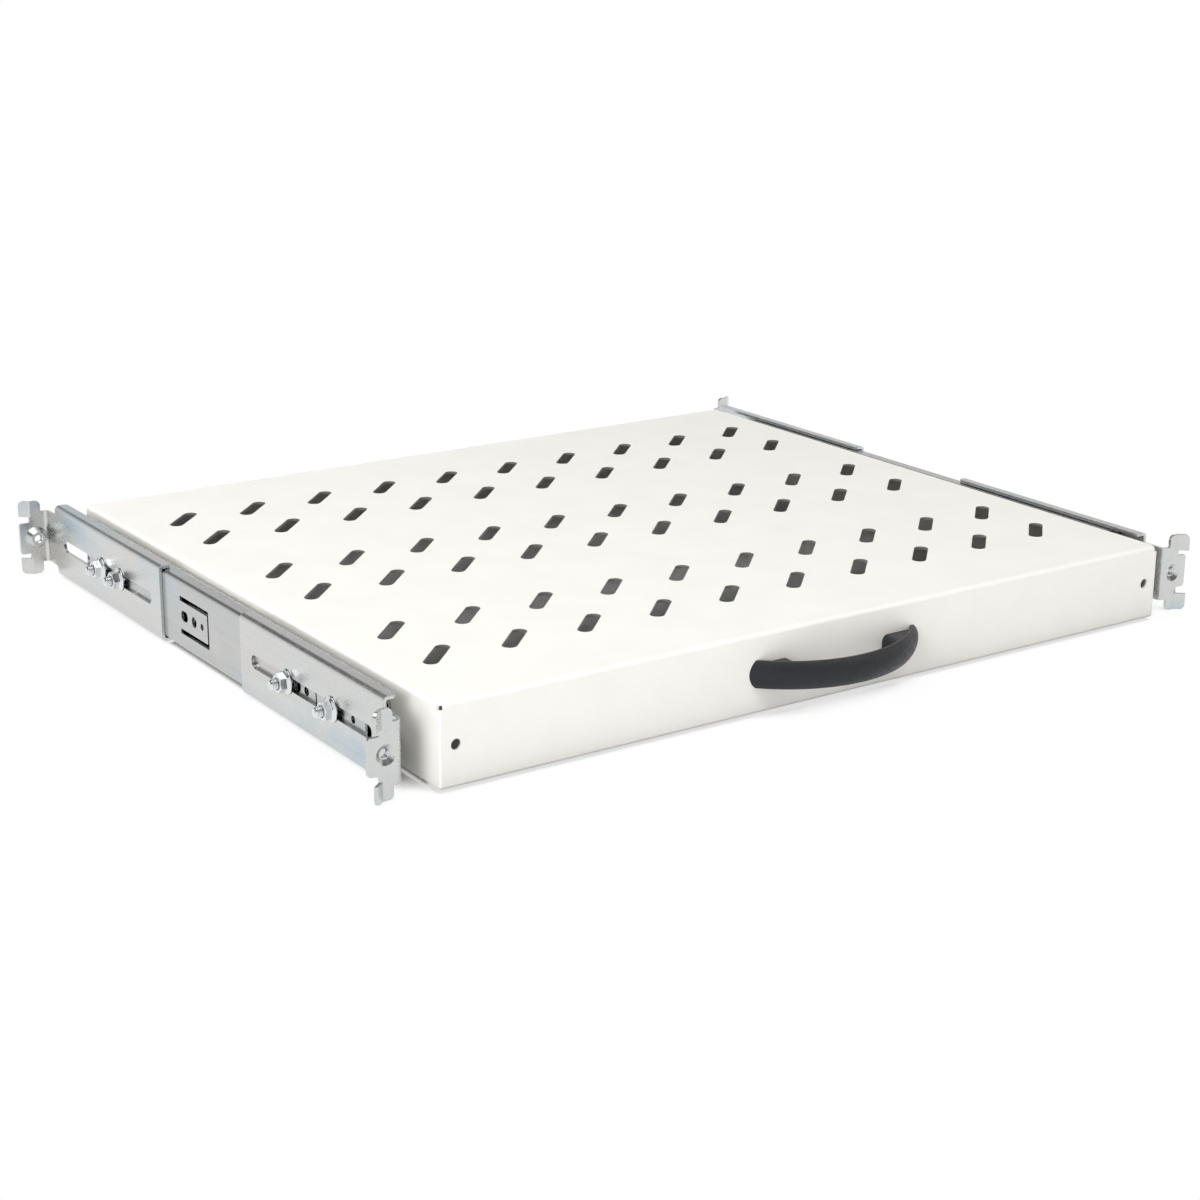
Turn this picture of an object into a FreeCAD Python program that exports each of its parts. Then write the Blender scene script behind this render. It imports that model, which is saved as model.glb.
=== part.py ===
"""Sliding shelf for a 19-inch rack, in millimetres.

A folded perforated tray with a bow handle rides on two three-piece ball slides.
Each outer rail carries a front and a rear bracket with a hooked, tapped ear, and
the brackets shift along the rails on their slots to suit the depth of the rack.

Frame: the origin lies midway between the two front ear threads, on the faces of
the ears that meet the rack posts. +X is right, +Y is to the rear and +Z is up.
Right-hand pieces are modelled and left-hand ones are their mirror images.
"""
import FreeCAD, Part
import os
import re
import Sketcher

SIZES = {
    # folded tray
    "tray_width": 423.0,
    "tray_depth": 370.0,
    "tray_height": 38.0,
    "tray_sheet": 1.5,
    "tray_bend": 2.0,
    "tray_corner": 1.0,
    "tray_hem": 14.0,
    "tray_hem_gap": 0.6,
    "tray_hem_bend": 1.4,
    "tray_overhang": 7.0,
    "tray_rise": 19.7,
    "corner_relief": 1.35,
    "corner_relief_inset": 1.15,
    "corner_relief_depth": 3.2,
    "slot_length": 27.0,
    "slot_width": 7.0,
    "slot_angle": 45.0,
    "slot_pitch": 40.0,
    "slot_side_margin": 31.0,
    "slot_end_margin": 54.0,
    "slot_pair_step": 40.0,
    "slot_pair_pitch": 110.0,
    "panel_hole_radius": 2.5,
    "panel_hole_edge": 8.0,
    # bow handle
    "handle_length": 101.0,
    "handle_reach": 23.0,
    "handle_bar": 4.2,
    "handle_crown": 2.6,
    "handle_bar_height": 13.2,
    "handle_edge": 0.4,
    "foot_height": 9.6,
    "foot_half_length": 8.2,
    "foot_sink": 1.6,
    "foot_round": 3.2,
    "handle_screw_span": 72.0,
    "handle_screw_grip": 7.0,
    # three-piece ball slide
    "slide_gap": 12.7,
    "rail_height": 35.0,
    "rail_sheet": 1.2,
    "rail_bend": 2.2,
    "rail_nest": 1.7,
    "rail_inset_front": 40.0,
    "rail_inset_rear": 30.0,
    "outer_lip_start": 3.0,
    "outer_lip_drop": 2.3,
    "middle_flange_start": 2.4,
    "inner_flange_reach": 7.0,
    "groove_depth": 0.35,
    "outer_track": 6.8,
    "inner_track": 4.6,
    "ball_radius": 1.6,
    "ball_play": 0.05,
    "ball_step": 52.0,
    "ball_count": 3,
    "cage_length": 126.0,
    "cage_width": 4.5,
    "cage_sheet": 0.7,
    "bumper_thickness": 4.0,
    "bumper_width": 3.4,
    "bumper_height": 22.0,
    "bumper_plug": 2.4,
    "closed_gap": 0.5,
    # openings punched in the rail webs
    "tongue_start": 152.5,
    "tongue_length": 32.0,
    "tongue_half_height": 7.1,
    "tongue_slit": 2.4,
    "tongue_end_slit": 1.6,
    "tongue_hole_small": 1.7,
    "tongue_hole_middle": 2.7,
    "tongue_hole_large": 2.6,
    "tongue_hole_large_length": 7.6,
    "tongue_small_at": 7.5,
    "tongue_middle_at": 16.3,
    "tongue_large_at": 27.2,
    "rail_hole_small": 1.8,
    "rail_hole_small_at": 10.5,
    "rail_hole_middle": 2.2,
    "rail_hole_middle_at": 53.0,
    "rail_hole_large": 3.0,
    "rail_hole_large_at": 61.5,
    "rail_slit_at": 44.0,
    "rail_slit_width": 1.2,
    "rail_slit_height": 7.0,
    "access_hole_radius": 4.5,
    # fasteners
    "fit": 0.02,
    "screw_radius": 1.95,
    "screw_head_radius": 3.8,
    "screw_head_height": 2.4,
    "screw_head_edge": 1.0,
    "screw_tip_gap": 0.5,
    "slide_screw_first": 40.0,
    "slide_screw_step": 105.0,
    "slide_screw_end": 0.8,
    "stud_radius": 2.5,
    "stud_head_radius": 3.8,
    "stud_head_height": 0.9,
    "stud_tail": 3.4,
    "stud_chamfer": 0.7,
    "front_stud_first": 27.0,
    "front_stud_step": 42.0,
    "rear_stud_first": 23.0,
    "rear_stud_step": 23.0,
    "nut_flats": 8.0,
    "nut_height": 5.0,
    "nut_flange_radius": 5.9,
    "nut_flange_height": 1.1,
    "nut_chamfer": 0.6,
    # adjustable brackets with rack ears
    "running_gap": 0.05,
    "lip_clearance": 0.35,
    "bracket_sheet": 1.6,
    "bracket_bend": 2.6,
    "bracket_length": 148.0,
    "bracket_lip": 6.8,
    "bracket_neck": 14.0,
    "neck_half_height": 14.0,
    "neck_notch_round": 2.6,
    "lip_corner": 2.0,
    "adjust_slot_start": 24.0,
    "adjust_slot_length": 113.0,
    "adjust_slot_width": 6.4,
    "rear_ear_gap": 52.0,
    "ear_hole_offset": 6.7,
    "ear_margin": 8.75,
    "ear_pad_half_height": 8.5,
    "ear_corner": 1.5,
    "ear_notch_depth": 5.6,
    "rack_hole_pitch": 15.875,
    "tab_height": 8.5,
    "tab_start": 3.4,
    "tab_flat": 5.2,
    "tab_hook": 6.0,
    "tab_angle": 40.0,
    "tab_round": 2.6,
    "ear_bend": 3.6,
    "thread_radius": 2.5,
    "funnel_radius": 4.7,
    "funnel_depth": 1.7,
    "collar_root_radius": 6.0,
    "collar_tip_radius": 3.7,
    "collar_height": 3.6,
}

doc = FreeCAD.newDocument("sliding_rack_shelf")
dims = doc.addObject("Spreadsheet::Sheet", "Dims")
for row, (alias, number) in enumerate(SIZES.items(), start=1):
    dims.set("A%d" % row, alias)
    dims.set("B%d" % row, str(number))
    dims.setAlias("B%d" % row, alias)
doc.recompute()

# Sizes that follow from the driving ones
HALF_WIDTH = "(tray_width / 2)"
RAIL_START = "(rail_inset_front - tray_overhang)"
RAIL_LENGTH = "(tray_depth - rail_inset_front - rail_inset_rear)"
RUNNER_LENGTH = f"({RAIL_LENGTH} - bumper_thickness - closed_gap)"
TRACK_RADIUS = "(ball_radius + ball_play)"
OUTER_ROW = f"(rail_height / 2 - rail_sheet + groove_depth - {TRACK_RADIUS})"
MIDDLE_HALF = f"({OUTER_ROW} - {TRACK_RADIUS} + groove_depth)"
INNER_ROW = f"({MIDDLE_HALF} - rail_sheet + groove_depth - {TRACK_RADIUS})"
INNER_HALF = f"({INNER_ROW} - {TRACK_RADIUS} + groove_depth)"
MIDDLE_WEB = "(slide_gap - rail_sheet - rail_nest)"
BRACKET_X = "(tray_width / 2 + slide_gap + running_gap)"
BRACKET_INSIDE = "(rail_height / 2 + lip_clearance)"
BRACKET_HALF = f"({BRACKET_INSIDE} + bracket_sheet)"
REAR_EAR = f"({RAIL_START} + {RAIL_LENGTH} + rear_ear_gap)"
HANDLE_Z = "(tray_rise - tray_height / 2)"
BOW_RADIUS = "((handle_length ^ 2 / 4 + handle_reach ^ 2) / (2 * handle_reach))"
BOW_INSIDE = f"({BOW_RADIUS} - handle_bar)"
BOW_CENTRE = f"({BOW_RADIUS} - handle_reach)"
CROWN_RADIUS = "((handle_bar_height ^ 2 / 4 + handle_crown ^ 2) / (2 * handle_crown))"
EAR_HOLE = "(bracket_sheet + ear_hole_offset)"
EAR_EDGE = f"({EAR_HOLE} + ear_margin)"
TAB_LOW = "(rack_hole_pitch - tab_height / 2)"
TAB_BEND = "(bracket_sheet + tab_start + tab_flat)"


def qualified(text):
    """Point every size name in an expression at the sheet."""
    def name(match):
        word = match.group(0)
        return "Dims." + word if word in SIZES else word
    return re.sub(r"[a-z_]+", name, text)


def value(text):
    return float(dims.evalExpression(text))


def bind(target, path, text):
    target.setExpression(path, qualified(text))


def place(target, x="0", y="0", z="0"):
    for axis, text in zip("xyz", (x, y, z)):
        bind(target, "Placement.Base." + axis, text)


def new_body(label):
    body = doc.addObject("PartDesign::Body", label)
    body.Label = label
    return body


def origin_feature(body, role):
    for feature in body.Origin.OriginFeatures:
        if feature.Role == role:
            return feature


def new_sketch(body, plane, lift=None):
    sketch = body.newObject("Sketcher::SketchObject", body.Name + "_sketch")
    sketch.AttachmentSupport = (origin_feature(body, plane), [""])
    sketch.MapMode = "FlatFace"
    if lift:
        bind(sketch, "AttachmentOffset.Base.z", lift)
    return sketch


def pin_point(sketch, geometry, position, x, y):
    for kind, text in (("DistanceX", x), ("DistanceY", y)):
        constraint = Sketcher.Constraint(kind, -1, 1, geometry, position, value(text))
        index = sketch.addConstraint(constraint)
        bind(sketch, "Constraints[%d]" % index, text)


def set_radius(sketch, geometry, radius):
    index = sketch.addConstraint(Sketcher.Constraint("Radius", geometry, value(radius)))
    bind(sketch, "Constraints[%d]" % index, radius)


def add_polygon(sketch, corners):
    points = [FreeCAD.Vector(value(x), value(y), 0) for x, y in corners]
    count = len(points)
    first = sketch.GeometryCount
    for i in range(count):
        sketch.addGeometry(Part.LineSegment(points[i], points[(i + 1) % count]), False)
    for i in range(count):
        after = first + (i + 1) % count
        sketch.addConstraint(Sketcher.Constraint("Coincident", first + i, 2, after, 1))
    for i, (x, y) in enumerate(corners):
        pin_point(sketch, first + i, 1, x, y)


def add_rectangle(sketch, left, right, low, high):
    add_polygon(sketch, [(left, low), (right, low), (right, high), (left, high)])


def add_circle(sketch, x, y, radius):
    centre = FreeCAD.Vector(value(x), value(y), 0)
    circle = Part.Circle(centre, FreeCAD.Vector(0, 0, 1), value(radius))
    index = sketch.addGeometry(circle, False)
    pin_point(sketch, index, 3, x, y)
    set_radius(sketch, index, radius)


def add_obround(sketch, start, end, radius):
    """A round-ended slot from one end centre to the other."""
    a = FreeCAD.Vector(value(start[0]), value(start[1]), 0)
    b = FreeCAD.Vector(value(end[0]), value(end[1]), 0)
    along = (b - a).normalize()
    side = FreeCAD.Vector(-along.y, along.x, 0) * value(radius)
    along = along * value(radius)
    near = Part.Arc(a + side, a - along, a - side)
    far = Part.Arc(b - side, b + along, b + side)
    first = sketch.addGeometry(near, False)
    sketch.addGeometry(Part.LineSegment(a - side, b - side), False)
    sketch.addGeometry(far, False)
    sketch.addGeometry(Part.LineSegment(b + side, a + side), False)
    for i in range(4):
        after = first + (i + 1) % 4
        sketch.addConstraint(Sketcher.Constraint("Tangent", first + i, 2, after, 1))
    sketch.addConstraint(Sketcher.Constraint("Equal", first, first + 2))
    pin_point(sketch, first, 3, *start)
    pin_point(sketch, first + 2, 3, *end)
    set_radius(sketch, first, radius)


def add_crowned_bar(sketch, front, back, half_height):
    """A flat-backed section whose front is an arc between two narrow rims."""
    rim = f"({front} + handle_crown)"
    corners = [(rim, half_height), (back, half_height), (back, "-" + half_height), (rim, "-" + half_height)]
    points = [FreeCAD.Vector(value(x), value(y), 0) for x, y in corners]
    first = sketch.GeometryCount
    for start, end in zip(points, points[1:]):
        sketch.addGeometry(Part.LineSegment(start, end), False)
    crown = Part.Arc(points[3], FreeCAD.Vector(value(front), 0, 0), points[0])
    arc = sketch.addGeometry(crown, False)
    for i in range(2):
        sketch.addConstraint(Sketcher.Constraint("Coincident", first + i, 2, first + i + 1, 1))
    for line, line_end, corner in ((first, 1, points[0]), (first + 2, 2, points[3])):
        near = [end for end in (1, 2) if (sketch.getPoint(arc, end) - corner).Length < 1e-4]
        sketch.addConstraint(Sketcher.Constraint("Coincident", line, line_end, arc, near[0]))
    for i, (x, y) in enumerate(corners[:3]):
        pin_point(sketch, first + i, 1, x, y)
    pin_point(sketch, first + 2, 2, *corners[3])
    set_radius(sketch, arc, CROWN_RADIUS)


def add_axis(sketch, x, low, high):
    """Axis of revolution along the sketch's own upright direction."""
    ends = [FreeCAD.Vector(value(x), value(y), 0) for y in (low, high)]
    index = sketch.addGeometry(Part.LineSegment(*ends), True)
    pin_point(sketch, index, 1, x, low)
    pin_point(sketch, index, 2, x, high)


def add_feature(body, kind, sketch, length=None, reverse=False, symmetric=False):
    """Pad or pocket a sketch; without a length a pocket runs through all."""
    feature = body.newObject("PartDesign::" + kind, body.Name + "_" + kind.lower())
    feature.Profile = sketch
    feature.Reversed = reverse
    if symmetric:
        feature.SideType = "Symmetric"
    if length:
        feature.Type = "Length"
        bind(feature, "Length", length)
    else:
        feature.Type = "ThroughAll"
    before = body.Shape.Volume if not body.Shape.isNull() else 0.0
    doc.recompute()
    grown = body.Shape.Volume - before
    if (grown <= 0) if kind == "Pad" else (grown >= 0):
        raise RuntimeError("%s of %s changes nothing" % (kind, body.Label))
    return feature


def turn(body, kind, sketch, angle=360.0):
    """Revolution or groove about the sketch's own axis, half of it to each side."""
    feature = body.newObject("PartDesign::" + kind, body.Name + "_" + kind.lower())
    feature.Profile = sketch
    feature.ReferenceAxis = (sketch, ["Axis0"])
    feature.Midplane = True
    feature.Angle = angle
    before = body.Shape.Volume if not body.Shape.isNull() else 0.0
    doc.recompute()
    grown = body.Shape.Volume - before
    if (grown <= 0) if kind == "Revolution" else (grown >= 0):
        raise RuntimeError("%s of %s changes nothing" % (kind, body.Label))


def dress(body, kind, edges, size):
    """Fillet or chamfer the named edges of the body as it stands."""
    if not edges:
        raise RuntimeError("no edge to dress on " + body.Label)
    feature = body.newObject("PartDesign::" + kind, body.Name + "_" + kind.lower())
    feature.Base = (body.Tip if body.Tip != feature else feature.BaseFeature, edges)
    bind(feature, "Radius" if kind == "Fillet" else "Size", size)
    doc.recompute()
    if "Invalid" in feature.State:
        raise RuntimeError("%s of %s fails" % (kind, body.Label))
    return feature


def edges_along(body, axis, *spots):
    """Edges that run along an axis through the given points of the other two axes."""
    others = [i for i in range(3) if i != "xyz".index(axis)]
    wanted = [tuple(value(text) for text in spot) for spot in spots]
    names = []
    for number, edge in enumerate(body.Tip.Shape.Edges, start=1):
        if len(edge.Vertexes) != 2:
            continue
        ends = [vertex.Point for vertex in edge.Vertexes]
        for spot in wanted:
            if all(abs(end[i] - at) < 1e-4 for end in ends for i, at in zip(others, spot)):
                names.append("Edge%d" % number)
    return names


def edge_between(body, start, end):
    """The straight edge that joins two points."""
    wanted = [FreeCAD.Vector(*[value(text) for text in point]) for point in (start, end)]
    for number, edge in enumerate(body.Tip.Shape.Edges, start=1):
        ends = [vertex.Point for vertex in edge.Vertexes]
        if len(ends) == 2 and all(min((p - q).Length for q in ends) < 1e-4 for p in wanted):
            return ["Edge%d" % number]
    return []


def round_edges(body, radius, centre_test=lambda centre: True):
    """Circular edges of a radius whose centre passes the test."""
    names = []
    for number, edge in enumerate(body.Tip.Shape.Edges, start=1):
        curve = edge.Curve
        if isinstance(curve, Part.Circle) and abs(curve.Radius - value(radius)) < 1e-4:
            if centre_test(curve.Center):
                names.append("Edge%d" % number)
    return names


def mirrored(label, source, across="x", at="0"):
    twin = doc.addObject("Part::Mirroring", label)
    twin.Label = label
    twin.Source = source
    twin.Normal = FreeCAD.Vector(*[1 if axis == across else 0 for axis in "xyz"])
    bind(twin, "Base." + across, at)
    return twin


def group_of(label, master, spots, rotation=FreeCAD.Rotation()):
    """Separate copies of one piece, each at its own place."""
    links = []
    for x, y, z in spots:
        link = doc.addObject("App::Link", label + "_copy")
        link.LinkedObject = master
        link.Placement = FreeCAD.Placement(FreeCAD.Vector(), rotation)
        place(link, x, y, z)
        links.append(link)
    group = doc.addObject("Part::Compound", label)
    group.Label = label
    group.Links = links
    return group


def slide_screw_rows():
    return [f"(slide_screw_first + {i} * slide_screw_step)" for i in range(3)]


def stud_rows():
    """Stud places along the rail, from its front end."""
    return ["front_stud_first",
            "(front_stud_first + front_stud_step)",
            f"({RAIL_LENGTH} - rear_stud_first - rear_stud_step)",
            f"({RAIL_LENGTH} - rear_stud_first)"]


def make_tray():
    """Folded tray: its local origin is the middle of the top front edge."""
    tray = new_body("shelf_tray")
    outline = new_sketch(tray, "XY_Plane")
    add_rectangle(outline, f"-{HALF_WIDTH}", HALF_WIDTH, "0", "tray_depth")
    add_feature(tray, "Pad", outline, "tray_height", reverse=True)
    top = edges_along(tray, "x", ("0", "0"), ("tray_depth", "0"))
    top += edges_along(tray, "y", (f"-{HALF_WIDTH}", "0"), (HALF_WIDTH, "0"))
    dress(tray, "Fillet", top, "tray_bend")

    inside_x = f"({HALF_WIDTH} - tray_sheet)"
    inside_y = "(tray_depth - tray_sheet)"
    hollow = new_sketch(tray, "XY_Plane", "-tray_height")
    add_rectangle(hollow, f"-{inside_x}", inside_x, "tray_sheet", inside_y)
    add_feature(tray, "Pocket", hollow, "tray_height - tray_sheet", reverse=True)
    folds = edges_along(tray, "x", ("tray_sheet", "-tray_sheet"), (inside_y, "-tray_sheet"))
    folds += edges_along(tray, "y", (f"-{inside_x}", "-tray_sheet"), (inside_x, "-tray_sheet"))
    dress(tray, "Fillet", folds, "tray_bend - tray_sheet")

    hems = new_sketch(tray, "XY_Plane", "-tray_height")
    hem_end = f"({HALF_WIDTH} - tray_sheet - tray_hem_gap)"
    add_rectangle(hems, f"-{hem_end}", hem_end, "tray_sheet / 2", "tray_hem")
    add_rectangle(hems, f"-{hem_end}", hem_end,
                  "tray_depth - tray_hem", "tray_depth - tray_sheet / 2")
    add_feature(tray, "Pad", hems, "tray_sheet")
    bends = [(y, "-tray_height") for y in ("0", "tray_depth")]
    dress(tray, "Fillet", edges_along(tray, "x", *bends), "tray_hem_bend")
    corners = [(side + HALF_WIDTH, y) for side in ("", "-") for y in ("0", "tray_depth")]
    dress(tray, "Fillet", edges_along(tray, "z", *corners), "tray_corner")

    relief = new_sketch(tray, "XY_Plane")
    for side in ("", "-"):
        for y in ("corner_relief_inset", "(tray_depth - corner_relief_inset)"):
            add_circle(relief, f"{side}({HALF_WIDTH} - corner_relief_inset)", y, "corner_relief")
    add_feature(tray, "Pocket", relief, "corner_relief_depth")

    columns = "(floor((tray_width - 2 * slot_side_margin) / slot_pitch) + 1)"
    pairs = ("(floor((tray_depth - 2 * slot_end_margin - slot_pair_step)"
             " / slot_pair_pitch) + 1)")
    first_x = f"(-({columns} - 1) * slot_pitch / 2)"
    first_y = f"((tray_depth - ({pairs} - 1) * slot_pair_pitch - slot_pair_step) / 2)"
    half_x = "(cos(slot_angle) * (slot_length - slot_width) / 2)"
    half_y = "(sin(slot_angle) * (slot_length - slot_width) / 2)"
    slots = new_sketch(tray, "XY_Plane")
    for y in (first_y, f"({first_y} + slot_pair_step)"):
        add_obround(slots, (f"{first_x} - {half_x}", f"{y} - {half_y}"),
                    (f"{first_x} + {half_x}", f"{y} + {half_y}"), "slot_width / 2")
    pocket = add_feature(tray, "Pocket", slots, "tray_sheet + tray_bend")
    pattern = tray.newObject("PartDesign::LinearPattern", "slot_pattern")
    pattern.Originals = [pocket]
    pattern.Direction = (origin_feature(tray, "X_Axis"), [""])
    pattern.Mode = "Spacing"
    bind(pattern, "Occurrences", columns)
    bind(pattern, "Offset", "slot_pitch")
    pattern.Direction2 = (origin_feature(tray, "Y_Axis"), [""])
    pattern.Mode2 = "Spacing"
    bind(pattern, "Occurrences2", pairs)
    bind(pattern, "Offset2", "slot_pair_pitch")
    pattern.Spacings2 = [-1.0] * (int(value(pairs)) - 1)
    tray.Tip = pattern
    doc.recompute()

    front = new_sketch(tray, "XZ_Plane")
    for side in ("", "-"):
        add_circle(front, f"{side}({HALF_WIDTH} - panel_hole_edge)",
                   "-tray_height / 2", "panel_hole_radius")
        add_circle(front, f"{side}handle_screw_span / 2",
                   "-tray_height / 2", "screw_radius + fit")
    add_feature(tray, "Pocket", front, "tray_sheet + tray_bend")

    flanks = new_sketch(tray, "YZ_Plane")
    for y in slide_screw_rows():
        add_circle(flanks, f"rail_inset_front + {y}", "-tray_rise", "screw_radius + fit")
    add_feature(tray, "Pocket", flanks, symmetric=True)
    place(tray, "0", "-tray_overhang", "tray_rise")
    return tray


def make_handle():
    """Bow handle: its local origin is on the panel, midway between the feet."""
    handle = new_body("pull_handle")
    section = new_sketch(handle, "YZ_Plane")
    add_crowned_bar(section, "-handle_reach", "handle_bar - handle_reach", "handle_bar_height / 2")
    add_axis(section, BOW_CENTRE, "-handle_bar_height / 2", "handle_bar_height / 2")
    turn(handle, "Revolution", section, 180.0)
    rims = round_edges(handle, f"({BOW_RADIUS} - handle_crown)") + round_edges(handle, BOW_INSIDE)
    dress(handle, "Fillet", rims, "handle_edge")

    behind = new_sketch(handle, "XZ_Plane")
    add_rectangle(behind, f"-2 * {BOW_RADIUS}", f"2 * {BOW_RADIUS}",
                  "-handle_bar_height", "handle_bar_height")
    add_feature(handle, "Pocket", behind)

    feet = new_sketch(handle, "XY_Plane")
    inner = "(handle_screw_span / 2 - foot_half_length)"
    middle = "(handle_screw_span / 2)"
    outer = f"(sqrt({BOW_INSIDE} ^ 2 - {BOW_CENTRE} ^ 2) + foot_sink)"
    for side in ("", "-"):
        corners = [(f"{side}{inner}", "0")]
        for x in (inner, middle):
            depth = f"-(sqrt({BOW_INSIDE} ^ 2 - {x} ^ 2) - {BOW_CENTRE} + foot_sink)"
            corners.append((side + x, depth))
        corners.append((side + outer, "0"))
        add_polygon(feet, corners)
    add_feature(handle, "Pad", feet, "foot_height", symmetric=True)
    ends = [(side + inner, tilt + "foot_height / 2") for side in ("", "-") for tilt in ("", "-")]
    dress(handle, "Fillet", edges_along(handle, "y", *ends), "foot_round")

    pilots = new_sketch(handle, "XZ_Plane")
    for side in ("", "-"):
        add_circle(pilots, f"{side}handle_screw_span / 2", "0", "screw_radius + fit")
    add_feature(handle, "Pocket", pilots, "handle_screw_grip", reverse=True)
    place(handle, "0", "-tray_overhang", HANDLE_Z)
    return handle


def make_screw(label, grip):
    """Pan-head screw along +Z, with its head below the origin."""
    screw = new_body(label)
    head = new_sketch(screw, "XY_Plane")
    add_circle(head, "0", "0", "screw_head_radius")
    add_feature(screw, "Pad", head, "screw_head_height", reverse=True)
    dress(screw, "Chamfer", round_edges(screw, "screw_head_radius", lambda c: c.z < -0.1),
          "screw_head_edge")
    shank = new_sketch(screw, "XY_Plane")
    add_circle(shank, "0", "0", "screw_radius")
    add_feature(screw, "Pad", shank, grip)
    return screw


def make_stud():
    """Press-in stud along +X, with its thin head inside the rail."""
    stud = new_body("stud_master")
    head = new_sketch(stud, "YZ_Plane")
    add_circle(head, "0", "0", "stud_head_radius")
    add_feature(stud, "Pad", head, "stud_head_height", reverse=True)
    shank = new_sketch(stud, "YZ_Plane")
    add_circle(shank, "0", "0", "stud_radius")
    length = "rail_sheet + 2 * running_gap + bracket_sheet + nut_height + stud_tail"
    add_feature(stud, "Pad", shank, length)
    end = value(length)
    dress(stud, "Chamfer", round_edges(stud, "stud_radius", lambda c: abs(c.x - end) < 1e-4),
          "stud_chamfer")
    return stud


def make_nut():
    """Hexagon flange nut along +X, seated on its flange."""
    nut = new_body("nut_master")
    hexagon = new_sketch(nut, "YZ_Plane")
    corners = []
    for i in range(6):
        angle = 60 * i + 30
        corners.append((f"nut_flats / sqrt(3) * cos({angle})", f"nut_flats / sqrt(3) * sin({angle})"))
    add_polygon(hexagon, corners)
    add_feature(nut, "Pad", hexagon, "nut_height")
    top = value("nut_height")
    rim = ["Edge%d" % number for number, edge in enumerate(nut.Tip.Shape.Edges, start=1)
           if all(abs(vertex.Point.x - top) < 1e-4 for vertex in edge.Vertexes)]
    dress(nut, "Chamfer", rim, "nut_chamfer")
    flange = new_sketch(nut, "YZ_Plane")
    add_circle(flange, "0", "0", "nut_flange_radius")
    add_feature(nut, "Pad", flange, "nut_flange_height")
    bore = new_sketch(nut, "YZ_Plane")
    add_circle(bore, "0", "0", "stud_radius + fit")
    add_feature(nut, "Pocket", bore, reverse=True)
    return nut


def rail_grooves(rail, *tracks):
    """Ball grooves rolled into the flanges along the whole rail."""
    grooves = new_sketch(rail, "XZ_Plane")
    for x, row in tracks:
        for side in ("", "-"):
            add_circle(grooves, x, side + row, TRACK_RADIUS)
    add_feature(rail, "Pocket", grooves)


def make_outer_rail():
    """Outer rail: local X runs from the tray's flank out to the bracket."""
    rail = new_body("right_outer_rail")
    inside = "(slide_gap - rail_sheet)"
    half = "(rail_height / 2)"
    under = "(rail_height / 2 - rail_sheet)"
    lip_low = "(rail_height / 2 - rail_sheet - outer_lip_drop)"
    lip_end = "(outer_lip_start + rail_sheet)"
    upper = [("slide_gap", half), ("outer_lip_start", half), ("outer_lip_start", lip_low),
             (lip_end, lip_low), (lip_end, under), (inside, under)]
    lower = [(x, "-" + z) for x, z in reversed(upper)]
    section = new_sketch(rail, "XZ_Plane")
    add_polygon(section, upper + lower)
    add_feature(rail, "Pad", section, RAIL_LENGTH, reverse=True)
    outer = [(x, side + half) for x in ("slide_gap", "outer_lip_start") for side in ("", "-")]
    dress(rail, "Fillet", edges_along(rail, "y", *outer), "rail_bend")
    inner = [(x, side + under) for x in (inside, lip_end) for side in ("", "-")]
    dress(rail, "Fillet", edges_along(rail, "y", *inner), "rail_bend - rail_sheet")
    rail_grooves(rail, ("outer_track", OUTER_ROW))

    web = new_sketch(rail, "YZ_Plane")
    for y in stud_rows():
        add_circle(web, y, "0", "stud_radius + fit")
    add_circle(web, f"{RAIL_LENGTH} - bumper_thickness / 2", "0", "bumper_plug / 2")
    add_circle(web, "rail_hole_small_at", "0", "rail_hole_small")
    add_circle(web, "rail_hole_middle_at", "0", "rail_hole_middle")
    add_circle(web, "rail_hole_large_at", "0", "rail_hole_large")
    add_rectangle(web, "rail_slit_at - rail_slit_width / 2", "rail_slit_at + rail_slit_width / 2",
                  "-rail_slit_height / 2", "rail_slit_height / 2")
    tongue_end = "(tongue_start + tongue_length)"
    outside = "(tongue_half_height + tongue_slit)"
    front_slit = "(tongue_start + tongue_end_slit)"
    add_polygon(web, [("tongue_start", f"-{outside}"), (tongue_end, f"-{outside}"),
                      (tongue_end, "-tongue_half_height"), (front_slit, "-tongue_half_height"),
                      (front_slit, "tongue_half_height"), (tongue_end, "tongue_half_height"),
                      (tongue_end, outside), ("tongue_start", outside)])
    add_circle(web, "tongue_start + tongue_small_at", "0", "tongue_hole_small")
    add_circle(web, "tongue_start + tongue_middle_at", "0", "tongue_hole_middle")
    reach = "(tongue_hole_large_length / 2 - tongue_hole_large)"
    large = "(tongue_start + tongue_large_at)"
    add_obround(web, (f"{large} - {reach}", "0"), (f"{large} + {reach}", "0"), "tongue_hole_large")
    add_feature(rail, "Pocket", web, reverse=True)
    place(rail, HALF_WIDTH, RAIL_START)
    return rail


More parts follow.
